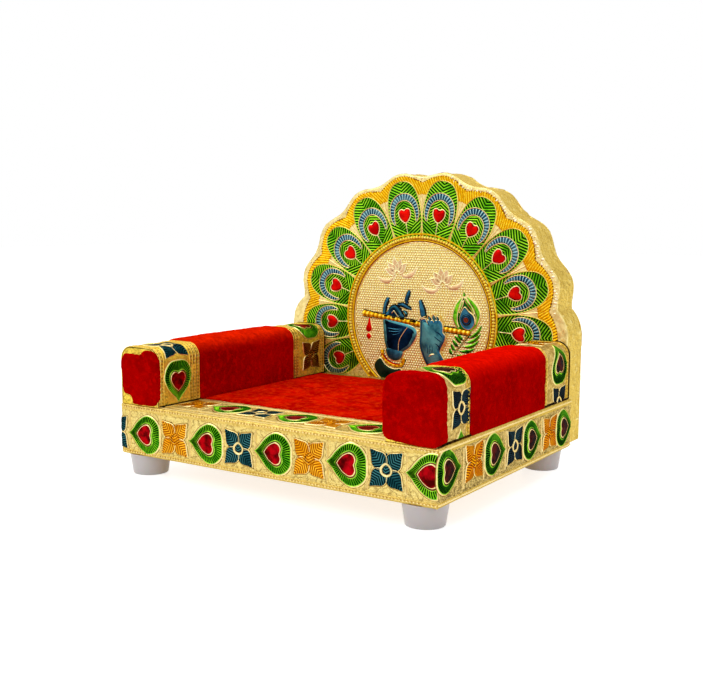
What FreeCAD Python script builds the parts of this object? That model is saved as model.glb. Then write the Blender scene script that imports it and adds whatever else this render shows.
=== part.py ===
import FreeCAD, Part
import Sketcher
import math
import os

# A small throne for a household figure: a foil-covered slab on four feet, two padded arms and a
# scalloped back board. The origin is on the floor under the middle, +Z is up and the front faces -Y.

sizes = {
    # base slab with its foil
    "baseWidth": 180.0,
    "baseDepth": 140.0,
    "baseHeight": 25.0,
    "foilThickness": 0.6,
    "liningThickness": 0.4,
    "liningMargin": 1.5,
    # feet
    "footHeight": 10.2,
    "footTopRadius": 10.2,
    "footBottomRadius": 8.75,
    "footInset": 10.8,
    "footFrontInset": 9.4,
    "footRecessRadius": 4.2,
    "footRecessDepth": 5.0,
    # back board, a rectangle that ends in a fan of lobes
    "boardSideInset": 2.7,
    "boardThickness": 20.0,
    "fanCentreHeight": 69.6,
    "fanShift": 0.9,
    "ringCentreHeight": 70.5,
    "notchInset": 7.55,
    "notchSpread": 1.5,
    "shoulderDrop": 3.6,
    "peakRise": 2.8,
    "peakSpread": 2.1,
    # arms
    "armWidth": 24.0,
    "armHeight": 28.8,
    "armSideInset": 1.5,
    "armCornerRadius": 6.5,
    "armRearGap": 1.0,
    "armBandLength": 30.0,
    "armVelvetThickness": 2.0,
    "armVelvetRounding": 1.0,
    "patchThickness": 1.2,
    "patchMargin": 0.8,
    "patchRounding": 0.5,
    "patchSkin": 0.9,
    "patchWrap": 9.0,
    # seat
    "seatVelvetThickness": 1.0,
    "frontBorderDepth": 32.6,
    "rearBorderDepth": 7.0,
    "rearStripThickness": 0.4,
    "softGap": 0.3,
    # stamped relief on the base strips
    "motifPitch": 19.9,
    "frontMotifStart": -3.0,
    "sideMotifStart": 12.9,
    "motifHeight": 12.4,
    "leafRadius": 8.0,
    "leafTip": 10.4,
    "petalLength": 9.6,
    "petalHalfWidth": 3.1,
    "flowerEyeRadius": 2.4,
    "motifRelief": 0.5,
    # stamped relief on the back sheet
    "borderWidth": 2.0,
    "featherLength": 29.85,
    "featherGap": 2.5,
    "featherFootGap": 2.6,
    "featherRelief": 0.5,
    "ringWidth": 4.0,
    "ringRelief": 0.9,
    "heartTipInset": 18.5,
    "heartHalfWidth": 3.2,
    "heartLength": 7.2,
    "heartRelief": 0.3,
    # wood screws
    "screwHeadRadius": 3.0,
    "screwHeadHeight": 2.0,
    "screwShankRadius": 1.5,
    "screwTipLength": 2.5,
    "slotWidth": 0.8,
    "slotDepth": 1.0,
    "screwClearance": 0.1,
    "counterboreDepth": 3.0,
    "pilotRoom": 0.5,
    "footScrewReach": 12.0,
    "armScrewReach": 16.0,
    "armScrewInset": 38.0,
    "backScrewReach": 14.0,
    "backScrewSpacing": 60.0,
}

lobesPerSide = 4
feathersPerSide = 6
lobeAngle = 20.7
backScrewFactors = (-1, 0, 1)
heartLobeShare = 0.46
tiny = 0.001

# Places that follow from the sizes above
places = {
    "baseTop": "Sizes.footHeight + Sizes.baseHeight",
    "depthWhole": "Sizes.patchThickness + Sizes.baseDepth + Sizes.boardThickness",
    "frontPlace": "Sizes.patchThickness - Places.depthWhole / 2",
    "boardPlace": "Places.frontPlace + Sizes.baseDepth",
    "rearPlace": "Places.boardPlace + Sizes.boardThickness",
    "coreWidth": "Sizes.baseWidth - 2 * Sizes.foilThickness",
    "coreFront": "Places.frontPlace + Sizes.foilThickness",
    "coreDepth": "Places.boardPlace - Places.coreFront",
    "coreBottom": "Sizes.footHeight + Sizes.liningThickness",
    "coreTop": "Places.baseTop - Sizes.foilThickness",
    "armCentre": "Sizes.baseWidth / 2 - Sizes.armSideInset - Sizes.armWidth / 2",
    "armRear": "Places.boardPlace - Sizes.armRearGap",
    "blockWidth": "Sizes.armWidth - 2 * Sizes.foilThickness",
    "blockHeight": "Sizes.armHeight - Sizes.foilThickness",
    "blockRadius": "Sizes.armCornerRadius - Sizes.foilThickness",
    "blockLength": "Places.armRear - Places.coreFront",
    "velvetWidth": "Places.blockWidth + 2 * Sizes.armVelvetThickness",
    "velvetHeight": "Places.blockHeight + Sizes.armVelvetThickness",
    "velvetRadius": "Places.blockRadius + Sizes.armVelvetThickness",
    "velvetFront": "Places.frontPlace + Sizes.armBandLength + Sizes.softGap",
    "velvetLength": "Places.armRear - Sizes.armBandLength - Sizes.softGap - Places.velvetFront",
    "patchWidth": "Sizes.armWidth - 2 * Sizes.patchMargin",
    "patchHeight": "Sizes.armHeight - Sizes.patchMargin",
    "patchRadius": "Sizes.armCornerRadius - Sizes.patchMargin",
    "capWidth": "Sizes.armWidth + 2 * Sizes.patchSkin",
    "capHeight": "Sizes.armHeight + Sizes.patchSkin",
    "capRadius": "Sizes.armCornerRadius + Sizes.patchSkin",
    "seatHalfWidth": "Places.armCentre - Places.velvetWidth / 2 - Sizes.softGap",
    "seatFront": "Places.frontPlace + Sizes.frontBorderDepth",
    "stripFront": "Places.boardPlace - Sizes.rearBorderDepth",
    "reliefFloor": "Places.baseTop + Sizes.rearStripThickness + Sizes.softGap",
    "boardWidth": "Sizes.baseWidth - 2 * Sizes.boardSideInset",
    "notchRadius": "Places.boardWidth / 2 - Sizes.notchInset",
    "peakRadius": "Places.notchRadius + Sizes.peakRise",
    "featherTipRadius": "Places.notchRadius - Sizes.borderWidth",
    "ringOuterRadius": "Places.featherTipRadius - Sizes.featherLength",
    "ringInnerRadius": "Places.ringOuterRadius - Sizes.ringWidth",
    "heartPlaceRadius": "Places.featherTipRadius - Sizes.heartTipInset",
    "boardInnerFront": "Places.boardPlace + Sizes.foilThickness",
    "boardInnerDepth": "Sizes.boardThickness - 2 * Sizes.foilThickness",
    "footSide": "Sizes.baseWidth / 2 - Sizes.footInset",
    "footFront": "Places.frontPlace + Sizes.footFrontInset",
    "footRear": "Places.boardPlace - Sizes.footInset",
    "holeRadius": "Sizes.screwShankRadius + Sizes.screwClearance",
    "counterboreRadius": "Sizes.screwHeadRadius + Sizes.screwClearance",
    "counterboreTop": "Places.coreBottom + Sizes.counterboreDepth",
    "armScrewFront": "Places.frontPlace + Sizes.armScrewInset",
    "armScrewRear": "Places.armRear - Sizes.armScrewInset",
    "backScrewHeight": "Sizes.footHeight + Sizes.baseHeight / 2",
    "backBoreFront": "Places.rearPlace - Sizes.foilThickness - Sizes.counterboreDepth",
}

doc = FreeCAD.newDocument("Throne")
sheet = doc.addObject("Spreadsheet::Sheet", "Sizes")
for row, (name, value) in enumerate(sizes.items(), start=1):
    sheet.set("A%d" % row, name)
    sheet.set("B%d" % row, str(value))
    sheet.setAlias("B%d" % row, name)
doc.recompute()

place = doc.addObject("App::VarSet", "Places")
for name in places:
    place.addProperty("App::PropertyFloat", name)
for name, text in places.items():
    place.setExpression(name, text)
doc.recompute()

nodes = []
upright = FreeCAD.Rotation(FreeCAD.Vector(1, 0, 0), 90)


def keep(part, name):
    """Marks an object of the document as one piece of the throne."""
    part.Label = name
    nodes.append(part)
    return part


def box(name, length, width, height, x, y, z):
    part = doc.addObject("Part::Box", name)
    for prop, text in zip(("Length", "Width", "Height"), (length, width, height)):
        part.setExpression(prop, text)
    for axis, text in zip("xyz", (x, y, z)):
        part.setExpression("Placement.Base." + axis, text)
    return part


def cylinder(name, radius, height, x, y, z, turn=None):
    part = doc.addObject("Part::Cylinder", name)
    if turn is not None:
        part.Placement = FreeCAD.Placement(FreeCAD.Vector(), turn)
    part.setExpression("Radius", radius)
    part.setExpression("Height", height)
    for axis, text in zip("xyz", (x, y, z)):
        part.setExpression("Placement.Base." + axis, text)
    return part


def cut(name, body, tools):
    group = doc.addObject("Part::MultiFuse", name + "_holes")
    group.Shapes = tools
    part = doc.addObject("Part::Cut", name)
    part.Base = body
    part.Tool = group
    return part


# Base slab with the holes for the foot, arm and back screws


def footPlaces():
    for sideName, sign in (("left", "-"), ("right", "")):
        for endName in ("front", "rear"):
            yield endName + "_" + sideName, sign + "Places.footSide", "Places.foot" + endName.capitalize()


def armScrewPlaces():
    for sign in ("-", ""):
        for end in ("Places.armScrewFront", "Places.armScrewRear"):
            yield sign + "Places.armCentre", end


def backScrewPlaces():
    for factor in backScrewFactors:
        yield "%d * Sizes.backScrewSpacing" % factor


coreBox = box("base_core", "Places.coreWidth", "Places.coreDepth", "Places.coreTop - Places.coreBottom",
              "-Places.coreWidth / 2", "Places.coreFront", "Places.coreBottom")
baseHoles = []
for index, (_, x, y) in enumerate(footPlaces()):
    baseHoles.append(cylinder("foot_pilot_%d" % index, "Places.holeRadius",
                              "Sizes.footScrewReach + Sizes.pilotRoom", x, y, "Places.coreBottom"))
for index, (x, y) in enumerate(armScrewPlaces()):
    baseHoles.append(cylinder("arm_bore_%d" % index, "Places.holeRadius", "Sizes.baseHeight",
                              x, y, "Places.coreBottom"))
    baseHoles.append(cylinder("arm_counterbore_%d" % index, "Places.counterboreRadius",
                              "Sizes.counterboreDepth", x, y, "Places.coreBottom"))
for index, x in enumerate(backScrewPlaces()):
    baseHoles.append(cylinder("back_pilot_%d" % index, "Places.holeRadius",
                              "Sizes.backScrewReach + Sizes.pilotRoom", x, "Places.boardPlace",
                              "Places.backScrewHeight", upright))
keep(cut("base_board", coreBox, baseHoles), "base_board")

liningPlate = box("lining_plate", "Sizes.baseWidth - 2 * Sizes.liningMargin",
                  "Places.coreDepth - 2 * Sizes.liningMargin", "Sizes.liningThickness",
                  "-Sizes.baseWidth / 2 + Sizes.liningMargin", "Places.coreFront + Sizes.liningMargin",
                  "Sizes.footHeight")
liningHoles = [cylinder("lining_hole_%d" % index, "Places.holeRadius", "Sizes.liningThickness",
                        x, y, "Sizes.footHeight")
               for index, (_, x, y) in enumerate(footPlaces())]
keep(cut("base_lining", liningPlate, liningHoles), "base_lining")
doc.recompute()

# Outlines of the stamped motifs, drawn in a plane with x along the strip and y up it


def vec(x, y):
    return FreeCAD.Vector(x, y, 0)


def polar(radius, angle):
    """A point of the fan, with the angle in degrees from straight up, clockwise from the front."""
    return vec(radius * math.sin(math.radians(angle)), radius * math.cos(math.radians(angle)))


def faceOf(edges):
    return Part.Face(Part.Wire(edges))


def leafFace():
    """A round leaf whose pointed tip lies along -x."""
    radius, tip = sheet.leafRadius, sheet.leafTip
    touch = math.acos(radius / tip)
    high = vec(-radius * math.cos(touch), radius * math.sin(touch))
    low = vec(high.x, -high.y)
    return faceOf([Part.Arc(high, vec(radius, 0), low).toShape(),
                   Part.LineSegment(low, vec(-tip, 0)).toShape(),
                   Part.LineSegment(vec(-tip, 0), high).toShape()])


def flowerFaces():
    """Four slim petals in a cross and a round eye."""
    petal = faceOf([Part.Arc(vec(0, 0), vec(sheet.petalLength / 2, sheet.petalHalfWidth),
                             vec(sheet.petalLength, 0)).toShape(),
                    Part.Arc(vec(sheet.petalLength, 0), vec(sheet.petalLength / 2, -sheet.petalHalfWidth),
                             vec(0, 0)).toShape()])
    faces = []
    for quarter in range(4):
        turned = petal.copy()
        turned.rotate(vec(0, 0), FreeCAD.Vector(0, 0, 1), 45 + 90 * quarter)
        faces.append(turned)
    faces.append(faceOf([Part.Circle(vec(0, 0), FreeCAD.Vector(0, 0, 1), sheet.flowerEyeRadius).toShape()]))
    return faces


def heartFace():
    """A heart whose point lies along -y, centred on the middle of its length."""
    half, length = sheet.heartHalfWidth, sheet.heartLength
    lobe = heartLobeShare * half
    radius = half - lobe
    level = length / 2 - radius
    point = vec(0, -length / 2)
    dip = vec(0, level + math.sqrt(radius ** 2 - lobe ** 2))
    left, right = vec(-half, level), vec(half, level)
    return faceOf([Part.LineSegment(point, right).toShape(),
                   Part.Arc(right, vec(lobe, length / 2), dip).toShape(),
                   Part.Arc(dip, vec(-lobe, length / 2), left).toShape(),
                   Part.LineSegment(left, point).toShape()])


def featherFace():
    """A feather along +y from the ring to its round tip."""
    slope = math.tan(math.radians(lobeAngle / 2))
    half = (place.featherTipRadius * slope - sheet.featherGap) / (1 + slope)
    start = place.ringInnerRadius
    foot = start * slope - sheet.featherFootGap
    middle = place.featherTipRadius - half
    return faceOf([Part.LineSegment(vec(-foot, start), vec(foot, start)).toShape(),
                   Part.LineSegment(vec(foot, start), vec(half, middle)).toShape(),
                   Part.Arc(vec(half, middle), vec(0, place.featherTipRadius), vec(-half, middle)).toShape(),
                   Part.LineSegment(vec(-half, middle), vec(-foot, start)).toShape()])


def feature(name, shape, placement=None):
    part = doc.addObject("Part::Feature", name)
    part.Shape = shape
    if placement is not None:
        part.Placement = placement
    return keep(part, name)


# Foil strips round the base, each a plate with its row of motifs raised on it


def strip(name, length, firstMotif, kinds, tipTurn, placement):
    """The plate lies in the xy plane, from x = 0 along the strip, with its outer face at +z."""
    height = sheet.baseHeight
    thickness = sheet.foilThickness
    count = int((length + sheet.leafTip - firstMotif) / sheet.motifPitch) + 1
    raised = []
    for index in range(count):
        middle = FreeCAD.Vector(firstMotif + index * sheet.motifPitch, sheet.motifHeight, thickness / 2)
        faces = [leafFace()] if kinds[index % len(kinds)] == "leaf" else flowerFaces()
        for face in faces:
            solid = face.extrude(FreeCAD.Vector(0, 0, thickness / 2 + sheet.motifRelief))
            solid.rotate(FreeCAD.Vector(), FreeCAD.Vector(0, 0, 1), tipTurn)
            solid.translate(middle)
            raised.append(solid)
    room = Part.makeBox(length, height, thickness + sheet.motifRelief)
    plate = Part.makeBox(length, height, thickness)
    shape = plate.fuse([solid.common(room) for solid in raised]).removeSplitter()
    return feature(name, shape, placement)


def facing(x, y, turn):
    """A placement that stands a strip upright and turns its outer face outwards."""
    around = FreeCAD.Rotation(FreeCAD.Vector(0, 0, 1), turn)
    return FreeCAD.Placement(FreeCAD.Vector(x, y, sheet.footHeight), around.multiply(upright))


halfBase = sheet.baseWidth / 2
strip("base_foil_front", sheet.baseWidth, sheet.frontMotifStart, ["flower", "leaf"], 0,
      facing(-halfBase, place.coreFront, 0))
strip("base_foil_right", place.coreDepth, sheet.sideMotifStart, ["leaf", "flower"], 180,
      facing(halfBase - sheet.foilThickness, place.coreFront, 90))
strip("base_foil_left", place.coreDepth, sheet.sideMotifStart, ["leaf", "flower"], 180,
      facing(-halfBase + sheet.foilThickness, place.boardPlace, -90))

topPlate = box("top_plate", "Places.coreWidth", "Places.coreDepth", "Sizes.foilThickness",
               "-Places.coreWidth / 2", "Places.coreFront", "Places.coreTop")
topHoles = [cylinder("top_hole_%d" % index, "Places.holeRadius", "Sizes.foilThickness", x, y, "Places.coreTop")
            for index, (x, y) in enumerate(armScrewPlaces())]
keep(cut("base_foil_top", topPlate, topHoles), "base_foil_top")
keep(box("base_foil_rear", "2 * Places.seatHalfWidth", "Sizes.rearBorderDepth", "Sizes.rearStripThickness",
         "-Places.seatHalfWidth", "Places.stripFront", "Places.baseTop"), "base_foil_rear")
keep(box("seat_velvet", "2 * Places.seatHalfWidth", "Places.stripFront - Sizes.softGap - Places.seatFront",
         "Sizes.seatVelvetThickness", "-Places.seatHalfWidth", "Places.seatFront", "Places.baseTop"),
     "seat_velvet")

# Back board: straight sides that run up into a fan of lobes


def spread(least, extra, angle):
    """A radius that grows from the top of the fan to its sides."""
    return least + extra * math.sin(math.radians(angle)) ** 2


def shoulderArc(notch, half):
    """The round shoulder from the last notch into the straight side, on the right."""
    side = vec(half, sheet.fanCentreHeight - sheet.shoulderDrop)
    across, up = half - notch.x, notch.y - side.y
    radius = (across ** 2 + up ** 2) / (2 * across)
    turn = math.atan2(up, radius - across) / 2
    middle = vec(side.x - radius + radius * math.cos(turn), side.y + radius * math.sin(turn))
    return notch, middle, side


def mirrored(point):
    return vec(-point.x, point.y)


def lobePoint(index, share, inset):
    """A point of the wavy edge: lobes swell between the notches, share runs from one notch to the next."""
    angle = (index + share) * lobeAngle
    notch = spread(place.notchRadius, sheet.notchSpread, angle)
    peak = spread(place.peakRadius, sheet.peakSpread, angle)
    swell = (1 - math.cos(2 * math.pi * share)) / 2
    return vec(sheet.fanShift, sheet.fanCentreHeight) + polar(notch + (peak - notch) * swell - inset, angle)


def boardFace(inset):
    """The board's outline, or one that lies inside it, with x to the right and y up from the floor."""
    half = place.boardWidth / 2 - inset
    # arcs run from turning point to turning point, over a peak and then through a notch
    last = 4 * lobesPerSide
    edges = [Part.Arc(*(lobePoint(-lobesPerSide, share, inset) for share in (0, 1 / 8, 1 / 4))).toShape()]
    for quarter in range(1, 2 * last - 1, 2):
        edges.append(Part.Arc(*(lobePoint(-lobesPerSide + (quarter + step) // 4, (quarter + step) % 4 / 4, inset)
                                for step in range(3))).toShape())
    edges.append(Part.Arc(*(lobePoint(lobesPerSide - 1, share, inset) for share in (3 / 4, 7 / 8, 1))).toShape())
    start, middle, side = shoulderArc(lobePoint(lobesPerSide, 0, inset), half)
    edges.append(Part.Arc(start, middle, side).toShape())
    foot = vec(side.x, sheet.footHeight)
    for one, other in ((side, foot), (foot, mirrored(foot)), (mirrored(foot), mirrored(side))):
        edges.append(Part.LineSegment(one, other).toShape())
    start, middle, side = shoulderArc(mirrored(lobePoint(-lobesPerSide, 0, inset)), half)
    edges.append(Part.Arc(mirrored(side), mirrored(middle), mirrored(start)).toShape())
    return faceOf(edges)


def slab(face, front, depth):
    """Stands a flat outline upright and gives it its thickness towards the back."""
    solid = face.extrude(FreeCAD.Vector(0, 0, -depth))
    solid.rotate(FreeCAD.Vector(), FreeCAD.Vector(1, 0, 0), 90)
    solid.translate(FreeCAD.Vector(0, front, 0))
    return solid


def bored(solid, radius, front, length):
    """Drills the three places of the back screws along +Y."""
    for factor in backScrewFactors:
        start = FreeCAD.Vector(factor * sheet.backScrewSpacing, front, place.backScrewHeight)
        solid = solid.cut(Part.makeCylinder(radius, length, start, FreeCAD.Vector(0, 1, 0)))
    return solid


outer = boardFace(0)
inner = boardFace(sheet.foilThickness)
core = slab(inner, place.boardInnerFront, place.boardInnerDepth)
edgeBand = slab(outer, place.boardInnerFront, place.boardInnerDepth).cut(core)
board = bored(core, place.holeRadius, place.boardInnerFront, place.boardInnerDepth)
board = bored(board, place.counterboreRadius, place.backBoreFront, sheet.counterboreDepth)
feature("back_board", board)
feature("back_foil_edge", edgeBand)
feature("back_cover", slab(outer, place.rearPlace - sheet.foilThickness, sheet.foilThickness))

# Front sheet of the back board with the ring and the feathers raised on it


def boss(face, height):
    """A raised shape on the front sheet, rooted halfway into it."""
    return slab(face, place.boardPlace - height, height + sheet.foilThickness / 2)


def onFan(face, angle):
    turned = face.copy()
    turned.rotate(FreeCAD.Vector(), FreeCAD.Vector(0, 0, 1), -angle)
    turned.translate(vec(sheet.fanShift, sheet.fanCentreHeight))
    return turned


def disc(radius):
    return faceOf([Part.Circle(vec(0, sheet.ringCentreHeight), FreeCAD.Vector(0, 0, 1), radius).toShape()])


frontSheet = bored(slab(outer, place.boardPlace, sheet.foilThickness), place.holeRadius, place.boardPlace,
                   sheet.foilThickness)
heart = heartFace()
heart.translate(vec(0, place.heartPlaceRadius))
raised = []
for index in range(-feathersPerSide, feathersPerSide):
    angle = (index + 0.5) * lobeAngle
    raised.append(boss(onFan(featherFace(), angle), sheet.featherRelief))
    raised.append(boss(onFan(heart, angle), sheet.featherRelief + sheet.heartRelief))
raised.append(boss(disc(place.ringOuterRadius), sheet.ringRelief))
relief = raised[0].fuse(raised[1:]).cut(boss(disc(place.ringInnerRadius), sheet.ringRelief))
aboveSeat = Part.makeBox(place.boardWidth, sheet.foilThickness + sheet.ringRelief, place.boardWidth,
                         FreeCAD.Vector(-place.boardWidth / 2, place.boardPlace - sheet.ringRelief,
                                        place.reliefFloor))
feature("back_foil_front", frontSheet.fuse(relief.common(aboveSeat)).removeSplitter())

# Arms: a wooden block, foil at both ends, padded velvet between and a velvet patch in front


def sizeOf(text):
    """The number behind an expression that is a single name."""
    owner, name = text.split(".")
    return getattr(sheet if owner == "Sizes" else place, name)


def archSketch(body, name, width, height, bend):
    """A section with round upper corners, its foot centred on the sketch's origin."""
    sketch = body.newObject("Sketcher::SketchObject", name)
    plane = [item for item in body.Origin.OriginFeatures if item.Role == "XZ_Plane"][0]
    sketch.AttachmentSupport = [(plane, "")]
    sketch.MapMode = "FlatFace"
    half, high, radius = sizeOf(width) / 2, sizeOf(height), sizeOf(bend)
    axis = FreeCAD.Vector(0, 0, 1)
    sketch.addGeometry([
        Part.LineSegment(vec(-half, 0), vec(half, 0)),
        Part.LineSegment(vec(half, 0), vec(half, high - radius)),
        Part.ArcOfCircle(Part.Circle(vec(half - radius, high - radius), axis, radius), 0, math.pi / 2),
        Part.LineSegment(vec(half - radius, high), vec(radius - half, high)),
        Part.ArcOfCircle(Part.Circle(vec(radius - half, high - radius), axis, radius), math.pi / 2, math.pi),
        Part.LineSegment(vec(-half, high - radius), vec(-half, 0)),
    ], False)
    sketch.addConstraint([
        Sketcher.Constraint("Coincident", 0, 2, 1, 1),
        Sketcher.Constraint("Tangent", 1, 2, 2, 1),
        Sketcher.Constraint("Tangent", 2, 2, 3, 1),
        Sketcher.Constraint("Tangent", 3, 2, 4, 1),
        Sketcher.Constraint("Tangent", 4, 2, 5, 1),
        Sketcher.Constraint("Coincident", 5, 2, 0, 1),
        Sketcher.Constraint("Horizontal", 0),
        Sketcher.Constraint("Vertical", 1),
        Sketcher.Constraint("Vertical", 5),
        Sketcher.Constraint("Equal", 2, 4),
        Sketcher.Constraint("Symmetric", 0, 1, 0, 2, -1, 1),
    ])
    for label, constraint, text in (
            ("wide", Sketcher.Constraint("DistanceX", 0, 1, 0, 2, 2 * half), width),
            ("high", Sketcher.Constraint("DistanceY", 0, 1, 3, 1, high), height),
            ("bend", Sketcher.Constraint("Radius", 2, radius), bend)):
        index = sketch.addConstraint(constraint)
        sketch.renameConstraint(index, label)
        sketch.setExpression("Constraints." + label, text)
    return sketch


def arch(name, x, y, section, length, backwards=True):
    """A body on the base top whose section is padded towards the back, or else towards the front."""
    body = doc.addObject("PartDesign::Body", name)
    for axis, text in zip("xyz", (x, y, "Places.baseTop")):
        body.setExpression("Placement.Base." + axis, text)
    pad = body.newObject("PartDesign::Pad", name + "_pad")
    pad.Profile = archSketch(body, name + "_outer", *section)
    pad.Reversed = backwards
    pad.setExpression("Length", length)
    doc.recompute()
    return body


def hollow(body, section):
    """Cuts a smaller section out of the whole length."""
    before = body.Shape.Volume
    pocket = body.newObject("PartDesign::Pocket", body.Name + "_pocket")
    pocket.Profile = archSketch(body, body.Name + "_inner", *section)
    pocket.Type = "ThroughAll"
    doc.recompute()
    if not body.Shape.Volume < before:
        raise RuntimeError(body.Name + " was not hollowed")


def recess(body, section, depth):
    """Cuts a smaller section into the end that lies in the sketch plane."""
    before = body.Shape.Volume
    pocket = body.newObject("PartDesign::Pocket", body.Name + "_pocket")
    pocket.Profile = archSketch(body, body.Name + "_inner", *section)
    pocket.Reversed = True
    pocket.setExpression("Length", depth)
    doc.recompute()
    if not body.Shape.Volume < before:
        raise RuntimeError(body.Name + " was not hollowed")


def closeFront(body, section):
    """Adds the wall of foil over the arm's front end."""
    wall = body.newObject("PartDesign::Pad", body.Name + "_wall")
    wall.Profile = archSketch(body, body.Name + "_end", *section)
    wall.Reversed = True
    wall.setExpression("Length", "Sizes.foilThickness")
    doc.recompute()


def roundEnds(body, radius, ends):
    """Rounds the rims of the section at the given ends, but not along the foot."""
    base = body.Tip
    rims = []
    for index, edge in enumerate(base.Shape.Edges, start=1):
        bounds = edge.BoundBox
        atEnd = [end for end in ends if abs(bounds.YMin - end) < tiny and abs(bounds.YMax - end) < tiny]
        if atEnd and bounds.ZMax > tiny:
            rims.append("Edge%d" % index)
    fillet = body.newObject("PartDesign::Fillet", body.Name + "_rims")
    fillet.Base = (base, rims)
    fillet.setExpression("Radius", radius)
    doc.recompute()


foilSection = ("Sizes.armWidth", "Sizes.armHeight", "Sizes.armCornerRadius")
blockSection = ("Places.blockWidth", "Places.blockHeight", "Places.blockRadius")
velvetSection = ("Places.velvetWidth", "Places.velvetHeight", "Places.velvetRadius")
patchSection = ("Places.patchWidth", "Places.patchHeight", "Places.patchRadius")
capSection = ("Places.capWidth", "Places.capHeight", "Places.capRadius")

for side, sign in (("left", "-"), ("right", "")):
    x = sign + "Places.armCentre"
    block = arch("arm_core_" + side, x, "Places.coreFront", blockSection, "Places.blockLength")
    pilots = [cylinder("arm_pilot_%s_%d" % (side, index), "Places.holeRadius",
                       "Sizes.armScrewReach + Sizes.pilotRoom", x, y, "Places.baseTop")
              for index, y in enumerate(("Places.armScrewFront", "Places.armScrewRear"))]
    keep(cut("arm_block_" + side, block, pilots), "arm_block_" + side)

    band = arch("arm_foil_front_" + side, x, "Places.frontPlace", foilSection, "Sizes.armBandLength")
    hollow(band, blockSection)
    closeFront(band, foilSection)
    keep(band, "arm_foil_front_" + side)

    band = arch("arm_foil_rear_" + side, x, "Places.armRear - Sizes.armBandLength", foilSection,
                "Sizes.armBandLength")
    hollow(band, blockSection)
    keep(band, "arm_foil_rear_" + side)

    wrap = arch("arm_velvet_" + side, x, "Places.velvetFront", velvetSection, "Places.velvetLength")
    roundEnds(wrap, "Sizes.armVelvetRounding", (0, place.velvetLength))
    hollow(wrap, blockSection)
    keep(wrap, "arm_velvet_" + side)

    if side == "left":
        patch = arch("arm_patch_left", x, "Places.frontPlace", patchSection, "Sizes.patchThickness", False)
        roundEnds(patch, "Sizes.patchRounding", (-sheet.patchThickness,))
    else:
        # this patch is a cap, wrapped back round the edges of the arm
        patch = arch("arm_patch_right", x, "Places.frontPlace + Sizes.patchWrap", capSection,
                     "Sizes.patchWrap + Sizes.patchThickness", False)
        roundEnds(patch, "Sizes.patchRounding", (-sheet.patchWrap - sheet.patchThickness,))
        recess(patch, foilSection, "Sizes.patchWrap")
    keep(patch, "arm_patch_" + side)

# Four tapered plastic feet, each with a recess for its screw

for index, (footName, x, y) in enumerate(footPlaces()):
    cone = doc.addObject("Part::Cone", "foot_cone_%d" % index)
    cone.setExpression("Radius1", "Sizes.footBottomRadius")
    cone.setExpression("Radius2", "Sizes.footTopRadius")
    cone.setExpression("Height", "Sizes.footHeight")
    cone.setExpression("Placement.Base.x", x)
    cone.setExpression("Placement.Base.y", y)
    recess = cylinder("foot_recess_%d" % index, "Sizes.footRecessRadius", "Sizes.footRecessDepth", x, y, "0")
    hole = cylinder("foot_hole_%d" % index, "Places.holeRadius", "Sizes.footHeight", x, y, "0")
    keep(cut("foot_" + footName, cone, [recess, hole]), "foot_" + footName)

# Wood screws, each group in one piece


def screw(length, start, direction):
    """A slotted screw whose head seats at the start and whose shank runs along the direction."""
    head = Part.makeCylinder(sheet.screwHeadRadius, sheet.screwHeadHeight,
                             FreeCAD.Vector(0, 0, -sheet.screwHeadHeight))
    slot = Part.makeBox(2 * sheet.screwHeadRadius, sheet.slotWidth, sheet.slotDepth,
                        FreeCAD.Vector(-sheet.screwHeadRadius, -sheet.slotWidth / 2, -sheet.screwHeadHeight))
    shank = Part.makeCylinder(sheet.screwShankRadius, length - sheet.screwTipLength)
    tip = Part.makeCone(sheet.screwShankRadius, 0, sheet.screwTipLength,
                        FreeCAD.Vector(0, 0, length - sheet.screwTipLength))
    solid = head.cut(slot).fuse([shank, tip]).removeSplitter()
    turn = FreeCAD.Rotation(FreeCAD.Vector(0, 0, 1), direction)
    solid.Placement = FreeCAD.Placement(start, turn)
    return solid


up = FreeCAD.Vector(0, 0, 1)
forward = FreeCAD.Vector(0, -1, 0)
footLength = sheet.footHeight - sheet.footRecessDepth + sheet.liningThickness + sheet.footScrewReach
armLength = place.baseTop - place.counterboreTop + sheet.armScrewReach
backLength = place.backBoreFront - place.boardPlace + sheet.backScrewReach
feature("foot_screws", Part.makeCompound([
    screw(footLength, FreeCAD.Vector(sign * place.footSide, y, sheet.footRecessDepth), up)
    for sign in (-1, 1) for y in (place.footFront, place.footRear)]))
feature("arm_screws", Part.makeCompound([
    screw(armLength, FreeCAD.Vector(sign * place.armCentre, y, place.counterboreTop), up)
    for sign in (-1, 1) for y in (place.armScrewFront, place.armScrewRear)]))
feature("back_screws", Part.makeCompound([
    screw(backLength, FreeCAD.Vector(factor * sheet.backScrewSpacing, place.backBoreFront,
                                     place.backScrewHeight), forward)
    for factor in backScrewFactors]))

# Check every object, then write one file for each piece

doc.recompute()
for item in doc.Objects:
    if "Invalid" in item.State or "Error" in item.State:
        raise RuntimeError("%s failed: %s" % (item.Name, item.State))
for node in nodes:
    if node.Shape.isNull() or not node.Shape.isValid():
        raise RuntimeError(node.Label + " has no valid shape")

os.makedirs("parts", exist_ok=True)
for node in nodes:
    node.Shape.exportStep("parts/%s.step" % node.Label)
    print("%-22s %9.1f mm3, %d solid(s)" % (node.Label, node.Shape.Volume, len(node.Shape.Solids)))
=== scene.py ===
import math
import bmesh
import bpy
import numpy as np
from mathutils import Matrix, Vector


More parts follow.
